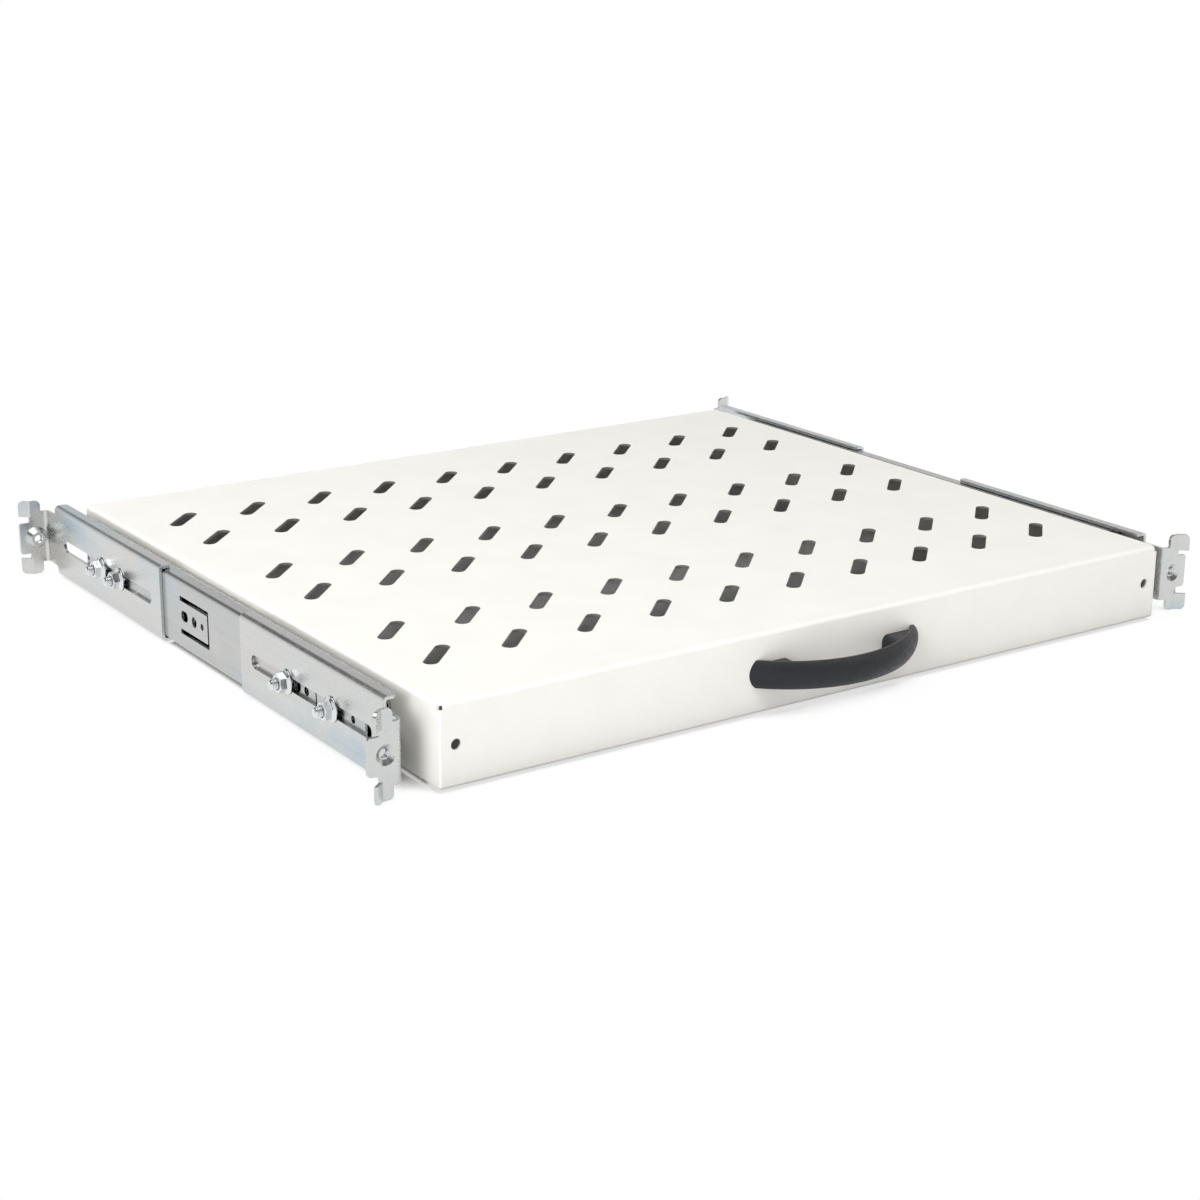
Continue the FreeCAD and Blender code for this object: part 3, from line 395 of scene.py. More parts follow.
def new_material(name):
    """Tree and Principled shader of a new material that has nothing else but its output."""
    material = bpy.data.materials.new(name)
    material.use_nodes = True
    tree = material.node_tree
    tree.nodes.clear()
    shader = tree.nodes.new("ShaderNodeBsdfPrincipled")
    output = tree.nodes.new("ShaderNodeOutputMaterial")
    tree.links.new(shader.outputs[0], output.inputs["Surface"])
    return tree, shader


def opaque(colour):
    return (*colour, 1.0)


def scaled(colour, factor):
    return (*[min(1.0, part * factor) for part in colour], 1.0)


def make_tray_paint(finish):
    """Satin powder coat with orange peel, and painted shade on the punched walls of the slots."""
    tree, shader = new_material("tray_powder_coat")
    edges = use_group(tree, "soft_edges", {"Width": 0.5 * MM})
    grain = use_group(tree, "fine_grain", {"Scale": 900.0, "Sharpness": 0.25})
    colour = blend_colours(tree, remap(tree, grain["Mask"], 0.3, 0.7),
                           scaled(finish.paint, 0.985), scaled(finish.paint, 1.012))
    where = own_place(tree)
    facing = split(tree, add_node(tree, "ShaderNodeNewGeometry").outputs["True Normal"])
    low, high = [Vector(corner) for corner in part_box("shelf_tray")]
    inset = 15.0 * MM
    top_sheet = high.z - 3.0 * MM
    aside = split(tree, distance_from_middle(tree, where, low, high))
    reach = (high - low) / 2.0 - Vector((inset, inset, 0.0))
    # Painted shade: the near-upright walls of the slots inside the tray's top sheet are coloured dark
    slot_wall_shade_mask = remap(tree, calculate(tree, "ABSOLUTE", facing["Z"]), 0.2, 0.1)
    for inside in (calculate(tree, "LESS_THAN", aside["X"], reach.x),
                   calculate(tree, "LESS_THAN", aside["Y"], reach.y),
                   calculate(tree, "GREATER_THAN", split(tree, where)["Z"], top_sheet)):
        slot_wall_shade_mask = calculate(tree, "MULTIPLY", slot_wall_shade_mask, inside)
    colour = blend_colours(tree, slot_wall_shade_mask, colour, opaque(finish.slot_wall_shade))
    bump = add_bump(tree, 0.16, 0.06 * MM, grain["Height"], edges["Normal"])
    set_inputs(tree, shader, {
        "Base Color": colour,
        "Roughness": remap(tree, grain["Mask"], 0.3, 0.7, 0.50, 0.58),
        "Specular IOR Level": 0.4,
        "Normal": bump})


def make_handle_plastic(finish):
    """Anthracite glass-filled plastic with a spark grain, paler on its edges, and a painted highlight along
    its upper side.
    """
    tree, shader = new_material("handle_nylon")
    grain = use_group(tree, "fine_grain", {"Scale": 2600.0, "Sharpness": 0.6})
    edges = use_group(tree, "soft_edges", {"Width": 0.5 * MM})
    colour = blend_colours(tree, remap(tree, grain["Mask"], 0.25, 0.75),
                           scaled(finish.plastic, 0.9), scaled(finish.plastic, 1.16))
    colour = blend_colours(tree, edges["Mask"], colour, scaled(finish.plastic, 1.7), 0.5)
    mottle = use_group(tree, "fine_grain", {"Scale": 760.0, "Sharpness": 0.35})
    facing = split(tree, add_node(tree, "ShaderNodeNewGeometry").outputs["True Normal"])
    # Painted highlight: upward-facing grain is coloured paler, fading towards the handle's ends
    away_from_ends = remap(tree, calculate(tree, "ABSOLUTE", facing["X"]), 0.50, 0.10, 0.25, 1.0)
    upper_side = calculate(tree, "MULTIPLY", remap(tree, facing["Z"], 0.20, 0.80), away_from_ends)
    painted_highlight = calculate(tree, "MULTIPLY", upper_side, remap(tree, mottle["Height"], 0.30, 0.66, 0.15, 0.85))
    colour = blend_colours(tree, painted_highlight, colour, opaque(finish.plastic_highlight))
    coarse = add_bump(tree, 0.5, 0.12 * MM, mottle["Height"], edges["Normal"])
    bump = add_bump(tree, 0.5, 0.05 * MM, grain["Height"], coarse)
    set_inputs(tree, shader, {
        "Base Color": colour,
        "Roughness": remap(tree, mottle["Height"], 0.3, 0.7, 0.34, 0.56),
        "Specular IOR Level": 0.32,
        "Normal": bump})


def make_zinc_sheet(finish, name, tone, lines, rough):
    """Zinc-plated rolled sheet: cast that deepens towards the ears, mill lines and bright cut edges."""
    tree, shader = new_material(name)
    edges = use_group(tree, "soft_edges", {"Width": finish.edge_width})
    where = own_place(tree)
    middle = (CAD_BOX[0][1] + HANDLE_REACH + CAD_BOX[1][1]) / 2.0
    along = calculate(tree, "SUBTRACT", split(tree, where)["Y"], middle)
    from_middle = calculate(tree, "ABSOLUTE", along)
    clouds = use_group(tree, "zinc_clouds",
                       {"Zinc": opaque(tone), "Blue": opaque(finish.blue_cast),
                        "Straw": opaque(finish.straw_cast),
                        "Amount": remap(tree, from_middle, 0.10, 0.185, 0.50, 0.80)})
    mill = use_group(tree, "mill_lines", {"Scale": lines})
    shade_in_corners = use_group(tree, "corner_shade", {"Distance": 2.2 * MM})
    colour = add_node(tree, "ShaderNodeBrightContrast",
                      {"Color": clouds["Color"],
                       "Bright": remap(tree, mill["Mask"], 0.0, 1.0, -0.022, 0.018)}).outputs[0]
    # Painted shade: narrow corners and crevices are coloured darker
    colour = blend_colours(tree, shade_in_corners["Mask"], colour, scaled(tone, 0.30), 0.55)
    colour = blend_colours(tree, edges["Mask"], colour, opaque(finish.bright_zinc), 0.75)
    dull = remap(tree, clouds["Mask"], 0.3, 0.7, rough - 0.03, rough + 0.03)
    lined = calculate(tree, "MULTIPLY", mill["Mask"], 0.06)
    bump = add_bump(tree, 0.04, 0.02 * MM, mill["Height"], edges["Normal"])
    set_inputs(tree, shader, {
        "Base Color": colour,
        "Metallic": 1.0,
        "Roughness": calculate(tree, "ADD", dull, lined, clamp=True),
        "Normal": bump})


def make_bright_metal(finish, name, tone, rough, soft_width):
    """Small plated or polished hardware, with painted shade in its crevices, and bright on its edges."""
    tree, shader = new_material(name)
    edges = use_group(tree, "soft_edges", {"Width": soft_width})
    clouds = use_group(tree, "zinc_clouds",
                       {"Zinc": opaque(tone), "Blue": scaled(finish.blue_cast, 1.15),
                        "Straw": scaled(tone, 0.92), "Amount": 0.35})
    shade_in_corners = use_group(tree, "corner_shade", {"Distance": 1.6 * MM})
    # Painted shade: narrow corners and crevices are coloured darker
    colour = blend_colours(tree, shade_in_corners["Mask"], clouds["Color"], scaled(tone, 0.16), 0.85)
    colour = blend_colours(tree, edges["Mask"], colour, scaled(tone, 1.12), 0.5)
    set_inputs(tree, shader, {
        "Base Color": colour,
        "Metallic": 1.0,
        "Roughness": remap(tree, clouds["Mask"], 0.3, 0.7, rough - 0.05, rough + 0.07),
        "Normal": edges["Normal"]})


def make_buffer_rubber(finish):
    """Black rubber with a dull bloom in patches."""
    tree, shader = new_material("black_rubber")
    grain = use_group(tree, "fine_grain", {"Scale": 1800.0, "Sharpness": 0.4})
    colour = blend_colours(tree, remap(tree, grain["Mask"], 0.3, 0.7),
                           opaque(finish.rubber), scaled(finish.rubber, 1.9))
    bump = add_bump(tree, 0.4, 0.05 * MM, grain["Height"])
    set_inputs(tree, shader, {
        "Base Color": colour,
        "Roughness": remap(tree, grain["Mask"], 0.3, 0.7, 0.66, 0.8),
        "Normal": bump})


def dress_node(node, material):
    """Gives a CAD node's object one material over all its faces."""
    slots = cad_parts[node].data.materials
    slots.clear()
    slots.append(bpy.data.materials[material])


def piece_boxes(node, axis):
    """Boxes of a node's separate solids, which follow each other along an axis."""
    points = [vertex.co.copy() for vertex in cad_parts[node].data.vertices]
    points.sort(key=lambda point: point[axis])
    runs = [[points[0]]]
    for point in points[1:]:
        if point[axis] - runs[-1][-1][axis] > PIECE_GAP:
            runs.append([])
        runs[-1].append(point)
    return [(Vector([min(p[i] for p in run) for i in range(3)]),
             Vector([max(p[i] for p in run) for i in range(3)])) for run in runs]


def axis_frame(origin, along):
    """Matrix that turns local Z to a direction and moves the origin to a point."""
    turn = Vector((0.0, 0.0, 1.0)).rotation_difference(Vector(along)).to_matrix().to_4x4()
    return Matrix.Translation(origin) @ turn


def bridge(mesh, first, second):
    """Faces between two closed rows of vertices."""
    count = len(first)
    for i in range(count):
        after = (i + 1) % count
        mesh.faces.new((first[i], first[after], second[after], second[i]))


def skin(mesh, place, rings, join_ends=False):
    """Skin over rings of (radius, height) points round local Z, with its ends closed or joined."""
    rows = []
    for ring in rings:
        row = []
        for i, (radius, height) in enumerate(ring):
            angle = 2.0 * math.pi * i / len(ring)
            local = Vector((radius * math.cos(angle), radius * math.sin(angle), height))
            row.append(mesh.verts.new(place @ local))
        rows.append(row)
    for low, high in zip(rows, rows[1:]):
        bridge(mesh, low, high)
    if join_ends:
        bridge(mesh, rows[-1], rows[0])
    else:
        mesh.faces.new(rows[0])
        mesh.faces.new(rows[-1])


def round_ring(radius, height, steps):
    return [(radius, height)] * steps


def thread_rings(radius, depth, pitch, start, end, steps, per_turn=10):
    """Rings of a helical thread; a negative depth makes an inside thread."""
    count = max(2, round((end - start) / pitch * per_turn))
    rings = []
    for k in range(count + 1):
        height = start + (end - start) * k / count
        ring = []
        for i in range(steps):
            phase = (height / pitch - i / steps) % 1.0
            flank = min(1.0, max(0.0, abs(2.0 * phase - 1.0) * 1.3 - 0.15))
            ring.append((radius - depth * flank, height))
        rings.append(ring)
    return rings


def add_piece(name, mesh, material, body, stands_for=()):
    """Turns a built mesh into a piece that rides on a body."""
    bmesh.ops.recalc_face_normals(mesh, faces=mesh.faces)
    data = bpy.data.meshes.new(name)
    mesh.to_mesh(data)
    mesh.free()
    data.shade_smooth()
    data.set_sharp_from_angle(angle=SHARP_ANGLE)
    data.materials.append(bpy.data.materials[material])
    piece = bpy.data.objects.new(name, data)
    bpy.context.scene.collection.objects.link(piece)
    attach(piece, body)
    if stands_for:
        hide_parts(*stands_for)


def add_flange_nut(mesh, place, height, flange_radius, bore, hardware):
    """Hexagon flange nut from its seat up, with a washer-like flange and chamfered corners."""
    steps = 72
    flat = hardware.nut_flats / 2.0
    rim = hardware.nut_flange
    top_radius = flat * 0.93
    hexagon = []
    for i in range(steps):
        turn = math.radians((5.0 * i + 30.0) % 60.0 - 30.0)
        hexagon.append(flat / math.cos(turn))
    foot = rim + 0.95 * MM
    rings = [
        round_ring(bore, 0.0, steps),
        round_ring(flange_radius - 0.2 * MM, 0.0, steps),
        round_ring(flange_radius, 0.15 * MM, steps),
        round_ring(flange_radius, rim - 0.2 * MM, steps),
        round_ring(flange_radius - 0.25 * MM, rim, steps),
        [(radius + 0.35 * MM, foot - 0.25 * MM) for radius in hexagon],
        [(radius + 0.06 * MM, foot) for radius in hexagon],
        [(radius, foot + 0.15 * MM) for radius in hexagon],
        [(radius, height - (radius - top_radius) * math.tan(NUT_CHAMFER)) for radius in hexagon],
        round_ring(top_radius, height, steps),
        round_ring(bore + 0.5 * MM, height, steps),
        round_ring(bore, height - 0.5 * MM, steps),
    ]
    skin(mesh, place, rings, join_ends=True)


def add_stud(mesh, place, head, length, head_radius, radius, hardware):
    """Press-in stud from under its head up to its threaded, chamfered tip."""
    steps = 40
    depth = hardware.thread_depth * hardware.stud_pitch
    start = length - hardware.stud_thread
    shank = radius - 0.5 * depth
    rings = [
        round_ring(head_radius - 0.25 * MM, -head, steps),
        round_ring(head_radius, 0.25 * MM - head, steps),
        round_ring(head_radius, 0.0, steps),
        round_ring(radius, 0.0, steps),
        round_ring(radius, 1.2 * MM, steps),
        round_ring(shank, 1.5 * MM, steps),
        round_ring(shank, start - 0.2 * MM, steps),
    ]
    chamfer = 0.75 * MM
    for ring in thread_rings(radius, depth, hardware.stud_pitch, start, length, steps):
        cap = radius - max(0.0, ring[0][1] - (length - chamfer)) * 0.95
        rings.append([(min(r, cap), h) for r, h in ring])
    rings.append(round_ring(radius - 1.05 * MM, length, steps))
    rings.append(round_ring(radius - 1.35 * MM, length - 0.18 * MM, steps))
    skin(mesh, place, rings)


def cross_recess_cutter(reach, top, depth):
    """Tapered cross that is sunk into a screw head."""
    mesh = bmesh.new()
    rows = []
    for share, height in ((1.0, top + 0.3 * MM), (0.52, top - depth)):
        arm = reach * share
        half = 0.52 * MM * (0.6 + 0.4 * share)
        outline = [(arm, -half), (arm, half), (half, half), (half, arm), (-half, arm), (-half, half),
                   (-arm, half), (-arm, -half), (-half, -half), (-half, -arm), (half, -arm), (half, -half)]
        rows.append([mesh.verts.new((x, y, height)) for x, y in outline])
    bridge(mesh, rows[0], rows[1])
    mesh.faces.new(rows[0])
    mesh.faces.new(rows[1])
    bmesh.ops.recalc_face_normals(mesh, faces=mesh.faces)
    return mesh


def screw_mesh(head_radius, shank_radius, shank_length, hardware):
    """Pan-head screw with a cross recess, its seat at the origin and its head up local Z."""
    steps = 48
    head = hardware.screw_head
    body = bmesh.new()
    depth = hardware.thread_depth * hardware.screw_pitch
    rings = []
    tip = 0.5 * MM
    for ring in thread_rings(shank_radius, depth, hardware.screw_pitch, -shank_length, 0.0, steps, 8):
        cap = shank_radius - max(0.0, tip - (ring[0][1] + shank_length)) * 1.1
        rings.append([(min(r, cap), h) for r, h in ring])
    rings.append(round_ring(head_radius - 0.1 * MM, 0.0, steps))
    rings.append(round_ring(head_radius, 0.12 * MM, steps))
    rings.append(round_ring(head_radius, head * 0.38, steps))
    for angle in (15.0, 32.0, 50.0, 68.0):
        swing = math.radians(angle)
        rings.append(round_ring(head_radius * (0.42 + 0.58 * math.cos(swing)),
                                head * (0.38 + 0.62 * math.sin(swing)), steps))
    rings.append(round_ring(head_radius * 0.40, head, steps))
    skin(body, Matrix.Identity(4), rings)
    bmesh.ops.recalc_face_normals(body, faces=body.faces)
    recess = cross_recess_cutter(hardware.recess_reach, head, RECESS_DEPTH)
    parts = []
    for label, built in (("blank", body), ("cutter", recess)):
        data = bpy.data.meshes.new("screw_" + label)
        built.to_mesh(data)
        built.free()
        part = bpy.data.objects.new("screw_" + label, data)
        bpy.context.scene.collection.objects.link(part)
        parts.append(part)
    blank, cutter = parts
    cut = blank.modifiers.new("recess", "BOOLEAN")
    cut.operation = "DIFFERENCE"
    cut.solver = "EXACT"
    cut.object = cutter
    graph = bpy.context.evaluated_depsgraph_get()
    result = bpy.data.meshes.new_from_object(blank.evaluated_get(graph))
    for part in parts:
        data = part.data
        bpy.data.objects.remove(part)
        bpy.data.meshes.remove(data)
    return result


def add_ear_thread(mesh, place, radius, start, end, hardware):
    """Inside thread of a tapped ear, as a ribbed sleeve in the bore."""
    steps = 48
    depth = hardware.thread_depth * hardware.ear_pitch
    rings = thread_rings(radius - 0.02 * MM - depth, -depth * 0.9, hardware.ear_pitch, start, end, steps)
    rings.append(round_ring(radius - 0.01 * MM, end, steps))
    rings.append(round_ring(radius - 0.01 * MM, start, steps))
    skin(mesh, place, rings, join_ends=True)


def add_buffer(mesh, low, high, inner, outer):
    """Ribbed rubber block with rounded edges, between its inner and outer face."""
    half_height = (high.z - low.z) / 2.0
    middle = (inner + outer) / 2.0
    half_width = abs(outer - inner) / 2.0
    round_off = 0.7 * MM
    depth = high.y - low.y
    stations = ((0.0, 0.45), (0.08, 0.12), (0.2, 0.0), (0.34, 0.0), (0.42, 0.3), (0.58, 0.3),
                (0.66, 0.0), (0.84, 0.0), (0.94, 0.1), (1.0, 0.4))
    rows = []
    for share, inset in stations:
        row = []
        for corner in range(4):
            for step in range(6):
                angle = math.radians(90.0 * corner + 18.0 * step)
                across = math.copysign(half_width - round_off, 1 if corner in (0, 3) else -1)
                along = math.copysign(half_height - round_off, 1 if corner in (0, 1) else -1)
                reach = round_off - inset * MM
                row.append(mesh.verts.new((
                    middle + across + reach * math.cos(angle),
                    low.y + depth * share,
                    along + reach * math.sin(angle))))
        rows.append(row)
    for front, back in zip(rows, rows[1:]):
        bridge(mesh, front, back)
    mesh.faces.new(rows[0])
    mesh.faces.new(rows[-1])


def add_ball(mesh, centre, radius):
    bmesh.ops.create_icosphere(mesh, subdivisions=3, radius=radius, matrix=Matrix.Translation(centre))


def add_cage_strip(mesh, low, high, count, pocket):
    """Stamped retainer strip in the XY plane with a row of round ball pockets."""
    middle = (low + high) / 2.0
    half_x = (high.x - low.x) / 2.0
    half_y = (high.y - low.y) / count / 2.0
    per_side = 6
    outline = []
    for start, end in (((-1, -1), (1, -1)), ((1, -1), (1, 1)), ((1, 1), (-1, 1)), ((-1, 1), (-1, -1))):
        for step in range(per_side):
            share = step / per_side
            outline.append((half_x * (start[0] + (end[0] - start[0]) * share),
                            half_y * (start[1] + (end[1] - start[1]) * share)))
    built = []
    for cell in range(count):
        centre = Vector((middle.x, low.y + half_y * (2 * cell + 1), 0.0))
        levels = []
        for level in (low.z, high.z):
            lifted = centre + Vector((0.0, 0.0, level))
            ways = [Vector((x, y, 0.0)) for x, y in outline]
            border = [mesh.verts.new(lifted + way) for way in ways]
            rim = [mesh.verts.new(lifted + way.normalized() * pocket) for way in ways]
            levels.append((border, rim))
            built += border
        bottom, top = levels
        for i in range(len(outline)):
            after = (i + 1) % len(outline)
            for border, rim in levels:
                mesh.faces.new((border[i], border[after], rim[after], rim[i]))
            mesh.faces.new((bottom[1][i], bottom[1][after], top[1][after], top[1][i]))
            side = i // per_side
            inside = (side == 0 and cell > 0) or (side == 2 and cell < count - 1)
            if not inside:
                mesh.faces.new((bottom[0][i], bottom[0][after], top[0][after], top[0][i]))
    bmesh.ops.remove_doubles(mesh, verts=built, dist=0.001 * MM)


class RACKSHELF_OT_make_finishes(bpy.types.Operator):
    """Builds the shared effects and the materials of the shelf"""
    bl_idname = "rackshelf.make_finishes"
    bl_label = "Make finishes"

    def execute(self, context):
        finish = context.scene.rack_shelf.finish
        make_soft_edges_group()
        make_zinc_clouds_group()
        make_mill_lines_group()
        make_corner_shade_group()
        make_fine_grain_group()
        make_tray_paint(finish)
        make_handle_plastic(finish)
        make_zinc_sheet(finish, "rail_zinc", finish.rail_zinc, 1500.0, 0.22)
        make_zinc_sheet(finish, "bracket_zinc", finish.zinc, 1200.0, 0.23)
        make_bright_metal(finish, "fastener_zinc", finish.bright_zinc, 0.15, 0.12 * MM)
        make_bright_metal(finish, "retainer_steel", finish.cage_steel, 0.30, 0.08 * MM)
        make_bright_metal(finish, "bearing_steel", finish.ball_steel, 0.10, 0.02 * MM)
        make_buffer_rubber(finish)
        return {"FINISHED"}


class RACKSHELF_OT_finish_tray(bpy.types.Operator):
    """Paints the folded tray"""
    bl_idname = "rackshelf.finish_tray"
    bl_label = "Tray"

    def execute(self, context):
        dress_node("shelf_tray", "tray_powder_coat")
        return {"FINISHED"}


class RACKSHELF_OT_finish_handle(bpy.types.Operator):
    """Gives the bow handle its moulded grain"""
    bl_idname = "rackshelf.finish_handle"
    bl_label = "Handle"

    def execute(self, context):
        dress_node("pull_handle", "handle_nylon")
        return {"FINISHED"}


class RACKSHELF_OT_finish_slides(bpy.types.Operator):
    """Plates the rails and the brackets"""
    bl_idname = "rackshelf.finish_slides"
    bl_label = "Rails and brackets"

    def execute(self, context):
        for side in OUTWARD:
            for rail in ("outer_rail", "middle_rail", "inner_rail"):
                dress_node(f"{side}_{rail}", "rail_zinc")
            for bracket in ("front_bracket", "rear_bracket"):
                dress_node(f"{side}_{bracket}", "bracket_zinc")
        return {"FINISHED"}


class RACKSHELF_OT_make_nuts(bpy.types.Operator):
    """Makes the flange nuts that clamp the brackets"""
    bl_idname = "rackshelf.make_nuts"
    bl_label = "Flange nuts"

    def execute(self, context):
        hardware = context.scene.rack_shelf.hardware
        for side, out in OUTWARD.items():
            node = f"{side}_bracket_nuts"
            mesh = bmesh.new()
            for number, (low, high) in enumerate(piece_boxes(node, 1)):
                middle = (low + high) / 2.0
                seat = Vector((low.x if out > 0 else high.x, middle.y, middle.z))
                turn = Matrix.Rotation(math.radians(17.0 + 23.0 * number), 4, "Z")
                place = axis_frame(seat, (out, 0.0, 0.0)) @ turn
                add_flange_nut(mesh, place, high.x - low.x, (high.y - low.y) / 2.0, NUT_BORE, hardware)
            add_piece(f"{side}_flange_nuts", mesh, "fastener_zinc", "slide_rails", [node])
        return {"FINISHED"}


class RACKSHELF_OT_make_studs(bpy.types.Operator):
    """Makes the threaded studs that are pressed into the outer rails"""
    bl_idname = "rackshelf.make_studs"
    bl_label = "Threaded studs"

    def execute(self, context):
        hardware = context.scene.rack_shelf.hardware
        for side, out in OUTWARD.items():
            node = f"{side}_bracket_studs"
            mesh = bmesh.new()
            for low, high in piece_boxes(node, 1):
                middle = (low + high) / 2.0
                start = low.x + STUD_HEAD if out > 0 else high.x - STUD_HEAD
                place = axis_frame(Vector((start, middle.y, middle.z)), (out, 0.0, 0.0))
                length = high.x - low.x - STUD_HEAD
                add_stud(mesh, place, STUD_HEAD, length, (high.y - low.y) / 2.0, STUD_RADIUS, hardware)
            add_piece(f"{side}_threaded_studs", mesh, "fastener_zinc", "slide_rails", [node])
        return {"FINISHED"}


class RACKSHELF_OT_make_screws(bpy.types.Operator):
    """Makes the recessed pan-head screws of the handle and the inner rails"""
    bl_idname = "rackshelf.make_screws"
    bl_label = "Pan-head screws"

    def execute(self, context):
        hardware = context.scene.rack_shelf.hardware
        jobs = [("handle_screws", "panel_screws", 0, Vector((0.0, 1.0, 0.0)))]
        for side, out in OUTWARD.items():
            jobs.append((f"{side}_slide_screws", f"{side}_rail_screws", 1, Vector((-out, 0.0, 0.0))))
        for node, name, spread, up in jobs:
            boxes = piece_boxes(node, spread)
            low, high = boxes[0]
            along = max(range(3), key=lambda axis: abs(up[axis]))
            length = high[along] - low[along] - hardware.screw_head
            template = screw_mesh((high.z - low.z) / 2.0, SCREW_RADIUS, length, hardware)
            mesh = bmesh.new()
            for number, (low, high) in enumerate(boxes):
                seat = (low + high) / 2.0
                top = high[along] if up[along] > 0 else low[along]
                seat[along] = top - up[along] * hardware.screw_head
                turn = Matrix.Rotation(math.radians(31.0 + 49.0 * number), 4, "Z")
                copy = template.copy()
                copy.transform(axis_frame(seat, up) @ turn)
                mesh.from_mesh(copy)
                bpy.data.meshes.remove(copy)
            bpy.data.meshes.remove(template)
            add_piece(name, mesh, "fastener_zinc", "shelf", [node])
        return {"FINISHED"}


class RACKSHELF_OT_make_ear_threads(bpy.types.Operator):
    """Makes the inside threads of the four tapped ears"""
    bl_idname = "rackshelf.make_ear_threads"
    bl_label = "Ear threads"

    def execute(self, context):
        hardware = context.scene.rack_shelf.hardware
        for side, out in OUTWARD.items():
            for end, body in (("front", "front_brackets"), ("rear", f"{side}_rear_ear")):
                x = out * hardware.ear_spacing / 2.0
                way = (0.0, 1.0, 0.0) if end == "front" else (0.0, -1.0, 0.0)
                face = 0.0 if end == "front" else EAR_DEPTH
                place = axis_frame(Vector((x, face, 0.0)), way)
                mesh = bmesh.new()
                add_ear_thread(mesh, place, EAR_BORE, EAR_THREAD_START, EAR_THREAD_END, hardware)
                add_piece(f"{side}_{end}_ear_thread", mesh, "fastener_zinc", body)
        return {"FINISHED"}


class RACKSHELF_OT_make_ball_rows(bpy.types.Operator):
    """Makes the stamped retainers and their full rows of balls"""
    bl_idname = "rackshelf.make_ball_rows"
    bl_label = "Ball rows"

    def execute(self, context):
        count = context.scene.rack_shelf.hardware.balls_in_row
        for side in OUTWARD:
            for row in ("outer", "inner"):
                body = f"{side}_{row}_ball_row"
                cages = bmesh.new()
                balls = bmesh.new()
                for low, high in piece_boxes(f"{side}_{row}_ball_cages", 2):
                    add_cage_strip(cages, low, high, count, POCKET_RADIUS)
                    pitch = (high.y - low.y) / count
                    for i in range(count):
                        centre = (low + high) / 2.0
                        centre.y = low.y + pitch * (i + 0.5)
                        add_ball(balls, centre, BALL_RADIUS)
                add_piece(f"{side}_{row}_retainers", cages, "retainer_steel", body,
                          [f"{side}_{row}_ball_cages"])
                add_piece(f"{side}_{row}_bearing_balls", balls, "bearing_steel", body,
                          [f"{side}_{row}_balls"])
        return {"FINISHED"}


class RACKSHELF_OT_make_buffers(bpy.types.Operator):
    """Makes the ribbed rubber buffers that stop the shelf, and their plugs in the rails"""
    bl_idname = "rackshelf.make_buffers"
    bl_label = "Closing buffers"

    def execute(self, context):
        for side, out in OUTWARD.items():
            node = f"{side}_rail_bumper"
            low, high = [Vector(corner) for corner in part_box(node)]
            outer = (high.x - PLUG_LENGTH) if out > 0 else (low.x + PLUG_LENGTH)
            inner = low.x if out > 0 else high.x
            mesh = bmesh.new()
            add_buffer(mesh, low, high, inner, outer)
            steps = 32
            root = Vector((outer - out * 0.3 * MM, (low.y + high.y) / 2.0, 0.0))
            skin(mesh, axis_frame(root, (out, 0.0, 0.0)),
                 [round_ring(PLUG_RADIUS, 0.0, steps),
                  round_ring(PLUG_RADIUS, PLUG_LENGTH + 0.1 * MM, steps),
                  round_ring(0.9 * MM, PLUG_LENGTH + 0.3 * MM, steps)])
            add_piece(f"{side}_closing_buffer", mesh, "black_rubber", "slide_rails", [node])
        return {"FINISHED"}


class RACKSHELF_OT_set_stage(bpy.types.Operator):
    """Sets the floor, the studio light and the camera"""
    bl_idname = "rackshelf.set_stage"
    bl_label = "Stage"

    def execute(self, context):
        stage = context.scene.rack_shelf.stage
        make_floor(stage)
        make_light(context.scene, stage)
        make_camera(context.scene, stage)
        context.scene.view_settings.view_transform = "Standard"
        return {"FINISHED"}


def floor_mesh():
    """Round floor under the shelf's lowest point, facing up."""
    mesh = bmesh.new()
    turns = [2.0 * math.pi * i / FLOOR_STEPS for i in range(FLOOR_STEPS)]
    rows = []
    for radius in FLOOR_RADII:
        points = [(radius * math.cos(turn), FLOOR_MIDDLE + radius * math.sin(turn)) for turn in turns]
        rows.append([mesh.verts.new((x, y, FLOOR_LEVEL)) for x, y in points])
    mesh.faces.new(rows[0])
    for inner, outer in zip(rows, rows[1:]):
        bridge(mesh, outer, inner)
    data = bpy.data.meshes.new("studio_floor")
    mesh.to_mesh(data)
    mesh.free()
    return data


def floor_clearness(tree, where):
    """How far the floor is white: not where the shelf covers it, apart from the slivers beside the tray."""
    sky = add_node(tree, "ShaderNodeAmbientOcclusion", {"Distance": SHADOW_REACH}, samples=12).outputs["AO"]
    gap = add_node(tree, "ShaderNodeAmbientOcclusion", {"Distance": GAP_REACH}, samples=8).outputs["AO"]
    clear = calculate(tree, "ADD", remap(tree, sky, 0.195, 0.43, 0.0, 0.93),
                      remap(tree, sky, 0.5, 0.96, 0.0, 0.07))
    low, high = [Vector(corner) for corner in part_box("shelf_tray")]
    within = split(tree, distance_from_middle(tree, where, low, high))
    inset = 6.5 * MM
    reach = (high - low) / 2.0 - Vector((inset, inset, 0.0))
    outside = calculate(tree, "MAXIMUM", calculate(tree, "GREATER_THAN", within["X"], reach.x),
                        calculate(tree, "GREATER_THAN", within["Y"], reach.y))
    sliver = calculate(tree, "MULTIPLY", outside, remap(tree, gap, 0.95, 0.6, 0.0, 0.68))
    return calculate(tree, "MAXIMUM", clear, sliver)


